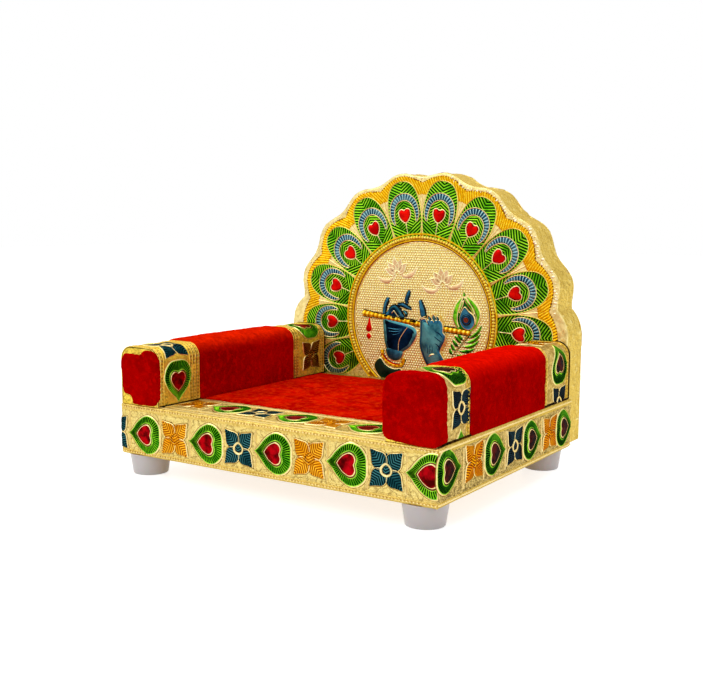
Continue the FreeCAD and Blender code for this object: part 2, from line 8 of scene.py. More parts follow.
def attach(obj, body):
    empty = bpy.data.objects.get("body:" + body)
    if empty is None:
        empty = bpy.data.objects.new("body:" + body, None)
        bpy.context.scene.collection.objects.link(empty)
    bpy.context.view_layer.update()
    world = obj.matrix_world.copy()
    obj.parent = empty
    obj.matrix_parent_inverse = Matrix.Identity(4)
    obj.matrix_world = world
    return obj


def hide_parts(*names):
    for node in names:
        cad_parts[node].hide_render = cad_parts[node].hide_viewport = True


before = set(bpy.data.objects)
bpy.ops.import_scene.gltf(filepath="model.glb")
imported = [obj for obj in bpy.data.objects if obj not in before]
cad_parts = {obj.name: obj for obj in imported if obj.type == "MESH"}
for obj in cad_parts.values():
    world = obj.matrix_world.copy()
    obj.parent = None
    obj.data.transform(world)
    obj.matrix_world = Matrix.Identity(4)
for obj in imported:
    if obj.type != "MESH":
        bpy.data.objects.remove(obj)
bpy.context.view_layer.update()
mm = 0.001

# Lengths below are in mm, as on the work bench, and become metres when a mesh is built

throne = {
    "front": -79.4,
    "rear": 60.6,
    "floorToBase": 10.2,
    "baseTop": 35.2,
    "halfWidth": 90.0,
    "seatLevel": 35.95,
}


# Shader nodes


class Wire:
    # wraps a socket, so that maths on surface values reads as plain expressions
    def __init__(self, finish, socket):
        self.finish = finish
        self.socket = socket

    def maths(self, operation, *values):
        return self.finish.node("ShaderNodeMath", {"operation": operation}, values)

    def __add__(self, other):
        return self.maths("ADD", self, other)

    __radd__ = __add__

    def __sub__(self, other):
        return self.maths("SUBTRACT", self, other)

    def __rsub__(self, other):
        return self.maths("SUBTRACT", other, self)

    def __mul__(self, other):
        return self.maths("MULTIPLY", self, other)

    __rmul__ = __mul__

    def __truediv__(self, other):
        return self.maths("DIVIDE", self, other)

    def __abs__(self):
        return self.maths("ABSOLUTE", self)

    def wave(self):
        # a soft ripple from 0 to 1, one for each whole number
        return self.maths("SINE", self * math.tau) * 0.5 + 0.5

    def stepFrom(self, low, high):
        return self.finish.node("ShaderNodeMapRange", {"interpolation_type": "SMOOTHSTEP"},
                                {"Value": self, "From Min": low, "From Max": high})


class Finish:
    # one material under construction
    def __init__(self, name):
        self.material = bpy.data.materials.new(name)
        self.material.use_nodes = True
        self.tree = self.material.node_tree
        self.tree.nodes.clear()
        self.shader = self.tree.nodes.new("ShaderNodeBsdfPrincipled")
        out = self.tree.nodes.new("ShaderNodeOutputMaterial")
        self.tree.links.new(self.shader.outputs[0], out.inputs["Surface"])

    def node(self, kind, settings=None, values=None, output=0):
        made = self.tree.nodes.new(kind)
        for key, value in (settings or {}).items():
            if key == "stops":
                while len(made.color_ramp.elements) < len(value):
                    made.color_ramp.elements.new(0.5)
                for element, (spot, colour) in zip(made.color_ramp.elements, value):
                    element.position, element.color = spot, (*colour, 1.0)
            else:
                setattr(made, key, value)
        pairs = values.items() if isinstance(values, dict) else enumerate(values or ())
        for key, value in pairs:
            self.plug(made.inputs[key], value)
        return Wire(self, made.outputs[output])

    def plug(self, socket, value):
        if isinstance(value, Wire):
            self.tree.links.new(value.socket, socket)
        elif isinstance(value, tuple) and len(value) == 3 and socket.type == "RGBA":
            socket.default_value = (*value, 1.0)
        else:
            socket.default_value = value

    def spot(self):
        return self.node("ShaderNodeTexCoord", output="Object")

    def flat(self):
        # the piece's own flat coordinates in mm, across and along
        uv = self.node("ShaderNodeUVMap", {"uv_map": "flat"})
        split = self.tree.nodes.new("ShaderNodeSeparateXYZ")
        self.tree.links.new(uv.socket, split.inputs[0])
        return Wire(self, split.outputs["X"]), Wire(self, split.outputs["Y"])

    def cloud(self, scale, detail=3.0, rough=0.55, spot=None, stretch=None):
        spot = spot or self.spot()
        if stretch:
            spot = self.node("ShaderNodeMapping", values={"Vector": spot, "Scale": stretch})
        return self.node("ShaderNodeTexNoise", values={"Vector": spot, "Scale": scale, "Detail": detail,
                                                       "Roughness": rough})

    def cells(self, scale, output="Distance", feature="F1"):
        return self.node("ShaderNodeTexVoronoi", {"feature": feature},
                         {"Vector": self.spot(), "Scale": scale},
                         output)

    def blend(self, share, one, other):
        made = self.tree.nodes.new("ShaderNodeMix")
        made.data_type = "RGBA"
        self.plug(made.inputs["Factor"], share)
        self.plug(made.inputs[6], one)
        self.plug(made.inputs[7], other)
        return Wire(self, made.outputs[2])

    def bump(self, height, strength, distance, under=None):
        values = {"Height": height, "Strength": strength, "Distance": distance}
        if under:
            values["Normal"] = under
        return self.node("ShaderNodeBump", values=values)

    def set(self, **sockets):
        for key, value in sockets.items():
            self.plug(self.shader.inputs[key.replace("_", " ")], value)
        return self.material


# the foil's pale colour, the colour of its painted shade, the colour of its painted highlights, and the tint
# of its reflections
goldLook = {
    "pale": (0.80, 0.61, 0.17),
    "shade": (0.26, 0.14, 0.012),
    "bright": (0.98, 0.86, 0.42),
    "tint": (0.75, 0.58, 0.22),
}


def goldGround(name, grain, depth, rough=0.34, pale=None, shade=None, crumple=0.0, contrast=1.0, scroll=0.0,
               metal=0.82, dark=0.02):
    # pale gold foil, pebbled by a grain of so many cells per metre, with thin pressed scrolls; shade is
    # painted into the hollows of the pebbling and along the scrolls, and highlights onto the tops of the
    # pebbles
    finish = Finish(name)
    pebble = finish.cells(grain).stepFrom(0.1, 0.62)
    fine = finish.cloud(grain * 0.45, 4.0, 0.6)
    broad = finish.cloud(70.0, 3.0)
    height = (1.0 - pebble) * 0.5 + fine * 0.6
    if crumple:
        folds = abs(finish.cloud(260.0, 3.0, 0.6, stretch=(1.0, 0.4, 1.0)) * 2.0 - 1.0) * 1.6
        height = height * 0.3 + (finish.cloud(150.0, 4.0, 0.7,
                                              stretch=(1.0, 0.35, 1.0)) * 0.6 + folds * 0.5) * crumple
    # painted shade: the low parts of the pebbling take the shade colour
    colour = finish.blend(height.stepFrom(dark, dark + 0.46), shade or goldLook["shade"],
                          pale or goldLook["pale"])
    # painted highlight: the tops of the pebbles take the bright colour
    glint = height.stepFrom(0.6, 0.9) * (broad * 0.6 + 0.5) * contrast
    colour = finish.blend(glint, colour, goldLook["bright"])
    if scroll:
        # painted shade along the pressed scrolls
        vine = 1.0 - abs(finish.cloud(scroll, 2.0, 0.4) * 20.0 - 10.0).stepFrom(0.0, 0.8)
        colour = finish.blend(vine * 0.45, colour, shade or goldLook["shade"])
        height = height - vine * 0.6
    roughness = broad * 0.18 + rough - 0.06
    return finish.set(Base_Color=colour, Metallic=metal, Roughness=roughness, Specular_IOR_Level=0.15,
                      Specular_Tint=goldLook["tint"], Normal=finish.bump(height, 0.8, depth))


def enamel(name, deep, bright, pitch=0.0, slope=0.0, line=None, metal=0.88, depth=0.00022, sharp=(0.25, 0.75),
           cloudy=130.0, wash=0.3):
    # clear colour pooled over stamped foil; barbs run up and out from the middle line of the piece
    finish = Finish(name)
    broad = finish.cloud(cloudy, 3.0)
    if pitch:
        across, along = finish.flat()
        jitter = finish.cloud(800.0, 2.0) * 0.14
        barb = ((along - abs(across) * slope) / pitch + jitter).wave()
        share = barb.stepFrom(*sharp)
        colour = finish.blend(share * (broad.stepFrom(0.3, 0.65) * wash + (1.0 - wash)), deep, bright)
        if line:
            colour = finish.blend(barb.stepFrom(0.8, 0.99) * broad.stepFrom(0.35, 0.6), colour, line)
        normal = finish.bump(barb + finish.cloud(1600.0, 2.0) * 0.15, 0.8, depth)
    else:
        share = broad.stepFrom(0.32, 0.66)
        colour = finish.blend(share, deep, bright)
        normal = finish.bump(finish.cloud(700.0, 3.0), 0.35, depth)
    edge = tuple(part * 0.8 for part in bright)
    return finish.set(Base_Color=colour, Metallic=metal, Roughness=0.38, Specular_IOR_Level=0.08,
                      Specular_Tint=edge, Normal=normal)


def velvet(name, deep, bright, lit, crest=None, fleck=0.8):
    # short pile, brushed here and there, with a lighter crest where it turns up to the light
    finish = Finish(name)
    brushed = finish.cloud(55.0, 4.0, 0.6)
    tufts = finish.cloud(300.0, 4.0, 0.7)
    pile = finish.cloud(2600.0, 2.0, 0.6)
    colour = finish.blend(brushed.stepFrom(0.38, 0.64), deep, bright)
    colour = finish.blend(tufts.stepFrom(0.44, 0.68) * fleck, colour, lit)
    colour = finish.blend(pile.stepFrom(0.35, 0.7) * 0.5, colour, deep)
    if crest:
        across, along = finish.flat()
        turned = 1.0 - abs(across - velvetMiddle).stepFrom(8.0, 15.0)
        colour = finish.blend(turned * (tufts.stepFrom(0.3, 0.7) * 0.5 + 0.35), colour, crest)
    height = brushed * 1.4 + tufts * 0.8 + pile * 0.35
    return finish.set(Base_Color=colour, Roughness=0.95, Specular_IOR_Level=0.0, Sheen_Weight=0.2,
                      Sheen_Roughness=0.4, Sheen_Tint=(0.9, 0.0, 0.0),
                      Normal=finish.bump(height, 0.6, 0.0006))


def plain(name, colour, rough, metal=0.0, grain=600.0, depth=0.0001, shade=0.85):
    finish = Finish(name)
    cloud = finish.cloud(grain, 4.0)
    dark = tuple(part * shade for part in colour)
    return finish.set(Base_Color=finish.blend(cloud.stepFrom(0.3, 0.7), dark, colour), Metallic=metal,
                      Roughness=cloud * 0.12 + rough, Normal=finish.bump(cloud, 0.3, depth))


def woodFinish():
    finish = Finish("sawnBoard")
    rings = finish.cloud(60.0, 5.0, 0.6, stretch=(0.15, 1.0, 4.0))
    pores = finish.cloud(1500.0, 2.0, stretch=(0.1, 1.0, 1.0))
    colour = finish.blend(rings.stepFrom(0.3, 0.7), (0.38, 0.24, 0.12), (0.62, 0.45, 0.27))
    return finish.set(Base_Color=colour, Roughness=0.7, Normal=finish.bump(rings + pores * 0.4, 0.4, 0.0004))


def plasticFinish():
    finish = Finish("whitePlastic")
    cloud = finish.cloud(35.0, 2.0)
    colour = finish.blend(cloud.stepFrom(0.3, 0.7), (0.68, 0.61, 0.60), (0.76, 0.70, 0.69))
    flow = finish.cloud(900.0, 2.0)
    return finish.set(Base_Color=colour, Roughness=0.3, Subsurface_Weight=0.25, Subsurface_Scale=0.004,
                      Normal=finish.bump(flow, 0.15, 0.0001))


# distance from the foot of an arm's velvet to the middle of its top
velvetMiddle = 37.05
darkGreen, brightGreen, limeGreen = (0.001, 0.022, 0.001), (0.11, 0.47, 0.006), (0.46, 0.84, 0.03)
finishes = {
    "ground": goldGround("pebbledFoil", 1500.0, 0.0004, 0.34, (0.85, 0.67, 0.22), (0.24, 0.12, 0.01),
                         contrast=1.0,
                         scroll=230.0, dark=-0.03),
    # painted shade: a darker copy of the ground foil, for the right side of the base
    "sideGround": goldGround("rightShadeFoil", 1300.0, 0.0006, 0.34, (0.84, 0.64, 0.24), (0.04, 0.02, 0.008),
                             contrast=1.0,
                             scroll=200.0, dark=0.08),
    "hem": goldGround("hemFoil", 300.0, 0.0006, 0.36, (0.88, 0.72, 0.30), (0.44, 0.28, 0.05), 0.6),
    # painted shade: darker gold for the border bands, round the leaflets
    "band": goldGround("bandFoil", 900.0, 0.0003, 0.34, (0.74, 0.54, 0.14), (0.40, 0.24, 0.03), contrast=0.4),
    # painted light: a brighter copy of the arm foil, with deeper painted shade and stronger painted
    # highlights, for arm faces turned away from the key lamp
    "armFoilLeft": goldGround("armFoilLeft", 700.0, 0.0005, 0.40, (1.0, 0.72, 0.09), (0.16, 0.08, 0.004), 0.4,
                              1.6,
                              260.0, metal=0.7, dark=-0.06),
    "armFoilRight": goldGround("armFoilRight", 700.0, 0.0004, 0.40, (0.84, 0.64, 0.24), (0.24, 0.13, 0.02),
                               0.4, 0.9,
                               260.0),
    "edge": goldGround("hammeredFoil", 420.0, 0.0018, 0.30, (0.80, 0.60, 0.17), (0.17, 0.09, 0.010), 1.0,
                       1.2),
    "ridge": goldGround("ridgeFoil", 900.0, 0.0001, 0.3, (0.94, 0.76, 0.34), (0.74, 0.52, 0.16)),
    "cord": goldGround("cordFoil", 900.0, 0.0001, 0.3, (1.0, 0.72, 0.13), (0.70, 0.38, 0.03)),
    # painted shade: dark strips between the cords of the arm borders
    "channel": goldGround("channelFoil", 900.0, 0.0001, 0.4, (0.16, 0.08, 0.006), (0.05, 0.025, 0.002),
                          contrast=0.1),
    # painted shade: dark gold in the pressed lines round the motifs
    "line": goldGround("pressedLine", 900.0, 0.0001, 0.4, (0.30, 0.16, 0.015), (0.12, 0.055, 0.004),
                       contrast=0.1),
    # partly painted highlight: the crimps are paler than the hem
    "crimp": goldGround("crimpedFoil", 500.0, 0.0001, 0.26, (1.0, 0.93, 0.66), (0.92, 0.76, 0.36), metal=0.6),
    "rim": goldGround("featherRim", 900.0, 0.0001, 0.3, (0.86, 0.80, 0.20), (0.66, 0.58, 0.08)),
    "bead": goldGround("beadFoil", 300.0, 0.00004, 0.3, (1.0, 0.84, 0.12), (1.0, 0.68, 0.03), metal=0.4),
    # partly painted highlight: the dots are painted pale as their lit tops
    "dots": goldGround("dottedFoil", 400.0, 0.0001, 0.3, (1.0, 0.97, 0.54), (0.99, 0.88, 0.38), metal=0.5),
    # painted shade: the disc under the dots is darker, as shade between them
    "disc": goldGround("discFoil", 900.0, 0.0002, 0.4, (0.80, 0.62, 0.15), (0.46, 0.27, 0.04), contrast=0.2),
    "lacquer": enamel("goldLacquer", (0.90, 0.47, 0.003), (1.0, 0.72, 0.02), metal=0.55, cloudy=500.0),
    "fluteGold": enamel("fluteGold", (0.50, 0.18, 0.002), (1.0, 0.62, 0.01), 2.7, 0.0, (1.0, 0.84, 0.14),
                        metal=0.7,
                        depth=0.0004, sharp=(0.12, 0.4), wash=0.1),
    "amber": enamel("amberGroove", (0.26, 0.09, 0.002), (0.50, 0.20, 0.004), metal=0.7),
    "rope": enamel("ropeLacquer", (0.74, 0.30, 0.001), (1.0, 0.60, 0.004), 1.5, 0.5, (1.0, 0.80, 0.06),
                   metal=0.7,
                   depth=0.0004, cloudy=520.0, sharp=(0.05, 0.45), wash=0.5),
    "ropeDark": enamel("ropeShade", (0.10, 0.03, 0.001), (0.42, 0.16, 0.002), cloudy=500.0),
    "barbs": enamel("featherGreen", darkGreen, brightGreen, 1.75, 0.6, limeGreen, sharp=(0.42, 0.62)),
    "fishbone": enamel("eyeGreen", darkGreen, brightGreen, 1.6, -0.6, limeGreen,
                       sharp=(0.4, 0.62)),
    "ribs": enamel("leafGreen", (0.001, 0.018, 0.001), (0.05, 0.34, 0.004), 0.98, 0.0, (0.32, 0.74, 0.02),
                   depth=0.0004, sharp=(0.3, 0.62)),
    "green": enamel("plainGreen", (0.008, 0.10, 0.002), (0.10, 0.44, 0.008), cloudy=300.0),
    "leafLight": enamel("plumeGreen", (0.04, 0.30, 0.004), (0.24, 0.68, 0.02), cloudy=300.0),
    "leafDark": enamel("plumeShade", (0.001, 0.03, 0.002), (0.01, 0.13, 0.006), cloudy=300.0),
    "lime": enamel("limeGreen", (0.10, 0.36, 0.01), (0.42, 0.78, 0.06), cloudy=300.0),
    "ticks": enamel("crescentBlue", (0.34, 0.58, 0.56), (0.004, 0.055, 0.10), 1.6, 0.0, (0.002, 0.02, 0.05),
                    sharp=(0.04, 0.26), wash=0.25),
    "petalBlue": enamel("petalBlue", (0.002, 0.010, 0.013), (0.007, 0.062, 0.072), 1.3, 0.6,
                        (0.06, 0.23, 0.23)),
    # painted shade: a darker copy of petalBlue for the right side
    "petalBlueShade": enamel("petalBlueShade", (0.006, 0.008, 0.010), (0.018, 0.034, 0.046), 0.95, 0.6,
                         (0.05, 0.16, 0.20)),
    "petalOrange": enamel("petalOrange", (0.34, 0.09, 0.001), (0.85, 0.33, 0.003), 1.3, 0.6,
                          (1.0, 0.62, 0.05)),
    "petalRust": enamel("petalRust", (0.05, 0.008, 0.001), (0.26, 0.06, 0.004), 1.3, 0.6, (0.80, 0.42, 0.05)),
    # painted shade: a darker copy of petalOrange for the right side
    "petalOrangeShade": enamel("petalOrangeShade", (0.22, 0.05, 0.0), (0.95, 0.36, 0.001), 1.3, 0.6, (1.0, 0.58, 0.02)),
    "heartRed": enamel("heartRed", (0.42, 0.001, 0.001), (0.78, 0.006, 0.002), metal=0.6),
    "heartDeep": enamel("heartDeep", (0.06, 0.001, 0.001), (0.44, 0.002, 0.006), metal=0.85, cloudy=260.0),
    "heartDark": enamel("heartDark", (0.025, 0.008, 0.006), (0.13, 0.022, 0.016), metal=0.8, cloudy=260.0),
    "navy": enamel("handNavy", (0.001, 0.003, 0.008), (0.004, 0.03, 0.09), cloudy=90.0),
    "teal": enamel("handTeal", (0.008, 0.07, 0.11), (0.11, 0.40, 0.42), cloudy=110.0),
    "steel": enamel("handSteel", (0.012, 0.07, 0.13), (0.04, 0.20, 0.30), cloudy=160.0),
    "ink": enamel("blackLine", (0.004, 0.003, 0.002), (0.02, 0.012, 0.006)),
    # painted shade: a darker copy of ribs for the right side
    "ribsNight": enamel("leafGreenShade", (0.001, 0.010, 0.001), (0.02, 0.15, 0.004), 0.98, 0.0,
                        (0.14, 0.44, 0.02),
                        depth=0.0004, sharp=(0.3, 0.62)),
    "sleeve": enamel("sleeveGreen", (0.004, 0.02, 0.012), (0.02, 0.06, 0.03)),
    "brown": enamel("eyeBrown", (0.02, 0.004, 0.004), (0.22, 0.03, 0.01)),
    # painted shade: dark enamel in the groove round a flower's eye
    "groove": enamel("grooveShade", (0.10, 0.035, 0.003), (0.30, 0.13, 0.02)),
    # painted shadow: a dark strip for the gaps under and behind the arms
    "glue": enamel("gapShadowFoil", (0.012, 0.006, 0.001), (0.09, 0.045, 0.006), cloudy=350.0),
    "peach": enamel("peachEnamel", (0.74, 0.48, 0.22), (0.88, 0.64, 0.34), metal=0.4),
    # the arm and patch velvets are one red cloth in lighter and darker copies, painted light and shade: the
    # patches on the fronts are lighter, the left arm darker than the right, and the crest colours are painted
    # highlights along the tops of the arms
    "armVelvetLeft": velvet("armVelvetLeft", (0.29, 0.0, 0.0), (0.43, 0.0, 0.0), (0.62, 0.001, 0.0),
                            (1.0, 0.022, 0.0)),
    "armVelvetRight": velvet("armVelvetRight", (0.40, 0.0, 0.0), (0.55, 0.0, 0.0), (0.74, 0.001, 0.0),
                             (0.95, 0.006, 0.0)),
    "patchVelvetRight": velvet("patchVelvetRight", (0.40, 0.0, 0.0), (0.62, 0.0, 0.0), (0.80, 0.001, 0.0)),
    "patchVelvetLeft": velvet("patchVelvetLeft", (0.34, 0.0, 0.0), (0.54, 0.0, 0.0), (0.74, 0.001, 0.0)),
    "seatVelvet": velvet("seatVelvet", (0.44, 0.0, 0.0), (0.78, 0.006, 0.0), (0.96, 0.055, 0.001),
                         fleck=0.6),
    "plastic": plasticFinish(),
    "wood": woodFinish(),
    "screw": plain("zincSteel", (0.55, 0.55, 0.56), 0.35, 1.0),
    "paper": goldGround("goldPaper", 350.0, 0.0001, 0.5, (0.70, 0.48, 0.16)),
}
print("finishes made:", len(finishes))


# Flat drawing: outlines are arrays of (u, v) going round to the left


def dense(points, step):
    points = np.asarray(points, float)
    made = []
    for one, two in zip(points, np.roll(points, -1, axis=0)):
        parts = max(1, math.ceil(np.linalg.norm(two - one) / step))
        made.extend(one + (two - one) * part / parts for part in range(parts))
    return np.array(made)


def smoothLoop(points, parts=6):
    # a closed curve through the given points
    points = np.asarray(points, float)
    t = np.linspace(0, 1, parts, endpoint=False)[:, None]
    made = []
    for index in range(len(points)):
        a, b, c, d = (points[(index + shift) % len(points)] for shift in (-1, 0, 1, 2))
        made.append(0.5 * (2 * b + (c - a) * t + (2 * a - 5 * b + 4 * c - d) * t ** 2
                           + (3 * b - a - 3 * c + d) * t ** 3))
    return np.concatenate(made)


def smoothPath(points, parts=6):
    points = np.asarray(points, float)
    ends = np.vstack([2 * points[0] - points[1], points, 2 * points[-1] - points[-2]])
    made = []
    for index in range(1, len(ends) - 2):
        a, b, c, d = ends[index - 1:index + 3]
        t = np.linspace(0, 1, parts, endpoint=False)[:, None]
        made.append(0.5 * (2 * b + (c - a) * t + (2 * a - 5 * b + 4 * c - d) * t ** 2
                           + (3 * b - a - 3 * c + d) * t ** 3))
    return np.vstack(made + [points[-1:]])


def edgeDistance(points, outline):
    start, along = outline, np.roll(outline, -1, axis=0) - outline
    reach = np.maximum((along ** 2).sum(1), 1e-12)
    offset = points[:, None, :] - start[None]
    share = np.clip((offset * along[None]).sum(2) / reach[None], 0, 1)
    return np.linalg.norm(offset - share[..., None] * along[None], axis=2).min(1)


def insetRing(outline, centre, depth):
    # moves each point towards the centre until it lies so deep inside the outline
    inward = np.asarray(centre, float) - outline
    if depth <= 0:
        return outline + inward / np.linalg.norm(inward, axis=1)[:, None] * depth
    low, high = np.zeros(len(outline)), np.ones(len(outline))
    for _ in range(11):
        middle = (low + high) / 2
        deep = edgeDistance(outline + inward * middle[:, None], outline) >= depth
        high, low = np.where(deep, middle, high), np.where(deep, low, middle)
    return outline + inward * high[:, None]


def rayRing(outline, centre, toward):
    # where rays from the centre through the given points meet the outline
    centre = np.asarray(centre, float)
    start, along = outline - centre, np.roll(outline, -1, axis=0) - outline
    made = []
    for ray in toward - centre:
        ray = ray / np.linalg.norm(ray)
        cross = ray[0] * along[:, 1] - ray[1] * along[:, 0]
        cross = np.where(np.abs(cross) < 1e-12, 1e-12, cross)
        reach = (start[:, 0] * along[:, 1] - start[:, 1] * along[:, 0]) / cross
        share = (start[:, 0] * ray[1] - start[:, 1] * ray[0]) / cross
        hits = reach[(share >= -1e-6) & (share <= 1 + 1e-6) & (reach > 0)]
        made.append(centre + ray * (hits.max() if len(hits) else 0.0))
    return np.array(made)


def withHeight(ring, height):
    return np.column_stack([ring, np.broadcast_to(height, len(ring))])


def softNoise(x, y, size, seed):
    # smooth random hills about so many mm across, from -1 to 1
    table = np.random.RandomState(seed).uniform(-1, 1, (64, 64))
    fx, fy = np.asarray(x) / size, np.asarray(y) / size
    ix, iy = np.floor(fx).astype(int), np.floor(fy).astype(int)
    tx, ty = fx - ix, fy - iy
    tx, ty = tx * tx * (3 - 2 * tx), ty * ty * (3 - 2 * ty)
    a, b = table[ix % 64, iy % 64], table[(ix + 1) % 64, iy % 64]
    c, d = table[ix % 64, (iy + 1) % 64], table[(ix + 1) % 64, (iy + 1) % 64]
    return (a * (1 - tx) + b * tx) * (1 - ty) + (c * (1 - tx) + d * tx) * ty


def insetRings(outline, centre, levels):
    # rings for a loft, each with its depth inside the outline and its height
    return [withHeight(insetRing(outline, centre, depth), height) for depth, height in levels]


def swell(path, spots, sizes):
    # sizes along a path, between the ones given at some shares of its points
    return np.interp(np.linspace(0, 1, len(path)), spots, sizes)


class Plan:
    # a relief on a flat plan: points (u, v, height), faces by finish, and flat coordinates at their corners
    def __init__(self):
        self.points, self.count, self.groups = [], 0, []

    def add(self, points):
        self.points.append(np.asarray(points, float))
        self.count += len(points)
        return self.count - len(points)

    def put(self, faces, finish, flat=None):
        faces = np.asarray(faces, int)
        if flat is None:
            flat = np.vstack(self.points)[faces][..., :2]
        self.groups.append((faces, finish, flat))

    def loft(self, rings, cover, along=None):
        # rings run from the outside in, cover names the finish between each two of them
        starts = [self.add(ring) for ring in rings]
        count = len(rings[0])
        here = np.arange(count)
        after = (here + 1) % count
        for index, finish in enumerate(cover[:len(rings) - 1]):
            a, b = starts[index], starts[index + 1]
            faces = np.column_stack([a + here, a + after, b + after, b + here])
            flat = None
            if along is not None and finish in along:
                run = along[finish]
                flat = np.zeros((count, 4, 2))
                flat[:, 0, 1] = flat[:, 3, 1] = run[:-1]
                flat[:, 1, 1] = flat[:, 2, 1] = run[1:]
            self.put(faces, finish, flat)
        last = starts[-1]
        top = self.add(rings[-1].mean(0)[None])
        self.put(np.column_stack([last + here, last + after, np.full(count, top)]), cover[-1])
        low = self.add(rings[0].mean(0)[None])
        self.put(np.column_stack([starts[0] + after, starts[0] + here, np.full(count, low)]), cover[0])

    def limb(self, path, halves, height, finish, cross=7, sunk=0.1, base=0.0):
        # a rounded ridge along a path, with its half width at each point
        path = np.asarray(path, float)
        halves = np.broadcast_to(np.asarray(halves, float), len(path))
        tangent = np.gradient(path, axis=0)
        tangent /= np.maximum(np.linalg.norm(tangent, axis=1), 1e-9)[:, None]
        left = np.column_stack([-tangent[:, 1], tangent[:, 0]])
        share = -np.cos(np.linspace(0, math.pi, cross))
        rows = len(path)
        spots = path[:, None] + left[:, None] * (share[None, :, None] * halves[:, None, None])
        rise = height * np.sqrt(np.maximum(0, 1 - share ** 2)) + base
        rise = np.where((share > -0.999) & (share < 0.999), rise, -sunk)
        level = np.broadcast_to(rise, (rows, cross)).copy()
        taper = np.minimum(1, halves / max(halves.max(), 1e-9))[:, None]
        level = np.where(level > 0, base + (level - base) * taper, level)
        start = self.add(np.concatenate([spots, level[..., None]], axis=2).reshape(-1, 3))
        grid = start + np.arange(rows * cross).reshape(rows, cross)
        run = np.concatenate([[0], np.cumsum(np.linalg.norm(np.diff(path, axis=0), axis=1))])
        flats = np.stack([share[None] * halves[:, None], np.broadcast_to(run[:, None], (rows, cross))],
                         axis=2)
        early, late = slice(None, -1), slice(1, None)
        corners = (early, early), (late, early), (late, late), (early, late)
        self.put(np.stack([grid[corner] for corner in corners], axis=-1).reshape(-1, 4), finish,
                 np.stack([flats[corner] for corner in corners], axis=-2).reshape(-1, 4, 2))
        self.put(np.column_stack([grid[:-1, 0], grid[:-1, -1], grid[1:, -1], grid[1:, 0]]), finish)
        self.put([grid[0, ::-1], grid[-1]], finish)

    def shell(self, u, v, top, finish, bottom=0.02):
        # a closed sheet over a grid of rows and columns
        rows, columns = u.shape
        upper = self.add(np.stack([u, v, top], axis=-1).reshape(-1, 3))
        lower = self.add(np.stack([u, v, np.broadcast_to(bottom, u.shape)], axis=-1).reshape(-1, 3))
        grid = np.arange(rows * columns).reshape(rows, columns)
        quads = np.stack([grid[:-1, :-1], grid[:-1, 1:], grid[1:, 1:], grid[1:, :-1]], axis=-1).reshape(-1, 4)
        self.put(upper + quads, finish)
        self.put(lower + quads[:, ::-1], finish)
        rim = np.concatenate([grid[0], grid[1:, -1], grid[-1, -2::-1], grid[-2:0:-1, 0]])
        after = np.roll(rim, -1)
        self.put(np.column_stack([upper + after, upper + rim, lower + rim, lower + after]), finish)

    def take(self, other, move=(0.0, 0.0), turn=0.0, lift=0.0, swap=None):
        # copies another plan in, turned in degrees to the left and then moved
        start = self.count
        points = np.vstack(other.points)
        c, s = math.cos(math.radians(turn)), math.sin(math.radians(turn))
        self.add(np.column_stack([points[:, 0] * c - points[:, 1] * s + move[0],
                                  points[:, 0] * s + points[:, 1] * c + move[1], points[:, 2] + lift]))
        for faces, finish, flat in other.groups:
            self.groups.append((faces + start, (swap or {}).get(finish, finish), flat))

    def build(self, name, place, slot, replaced=(), cuts=(), smooth=40.0):
        # makes the mesh, with its place in its points, and hands it to the frame
        points = np.vstack(self.points)
        spots = place(points)
        middle = points.mean(0)
        probe = place(middle + np.array([[0, 0, 0], [0.01, 0, 0], [0, 0.01, 0], [0, 0, 0.01]]))
        mirrored = np.linalg.det(probe[1:] - probe[0]) < 0
        names = list(dict.fromkeys(finish for _, finish, _ in self.groups))
        loops, sizes, marks, flats = [], [], [], []
        for faces, finish, flat in self.groups:
            if mirrored:
                faces, flat = faces[:, ::-1], flat[:, ::-1]
            loops.append(faces.reshape(-1))
            sizes.append(np.full(len(faces), faces.shape[1]))
            marks.append(np.full(len(faces), names.index(finish)))
            flats.append(flat.reshape(-1, 2))
        loops, sizes = np.concatenate(loops), np.concatenate(sizes)
        mesh = bpy.data.meshes.new(name)
        mesh.vertices.add(len(spots))
        mesh.vertices.foreach_set("co", (spots * mm).astype(np.float32).ravel())
        mesh.loops.add(len(loops))
        mesh.loops.foreach_set("vertex_index", loops)
        mesh.polygons.add(len(sizes))
        mesh.polygons.foreach_set("loop_start", np.concatenate([[0], np.cumsum(sizes)[:-1]]))
        mesh.polygons.foreach_set("material_index", np.concatenate(marks))
        mesh.update(calc_edges=True)
        layer = mesh.uv_layers.new(name="flat")
        layer.data.foreach_set("uv", np.concatenate(flats).astype(np.float32).ravel())
        for finish in names:
            mesh.materials.append(finishes[finish])
        mesh.validate()
        trim(mesh, cuts)
        return settle(mesh, name, replaced, smooth)


def trim(mesh, cuts):
    # cuts the mesh by planes, keeps the side against each normal, and closes the cut
    if not cuts:
        return
    work = bmesh.new()
    work.from_mesh(mesh)
    for spot, normal in cuts:
        everything = work.verts[:] + work.edges[:] + work.faces[:]
        made = bmesh.ops.bisect_plane(work, geom=everything, dist=1e-7, plane_co=Vector(spot) * mm,
                                      plane_no=normal, clear_outer=True)
        edges = [item for item in made["geom_cut"] if isinstance(item,
                                                                 bmesh.types.BMEdge) and item.is_boundary]
        bmesh.ops.holes_fill(work, edges=edges, sides=0)
    work.to_mesh(mesh)
    work.free()


def settle(mesh, name, replaced=(), smooth=40.0):
    mesh.polygons.foreach_set("use_smooth", np.ones(len(mesh.polygons), bool))
    mesh.set_sharp_from_angle(angle=math.radians(smooth))
    piece = bpy.data.objects.new(name, mesh)
    bpy.context.scene.collection.objects.link(piece)
    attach(piece, "root")
    if replaced:
        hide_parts(*replaced)
    return piece


# Where a flat plan lies on the throne


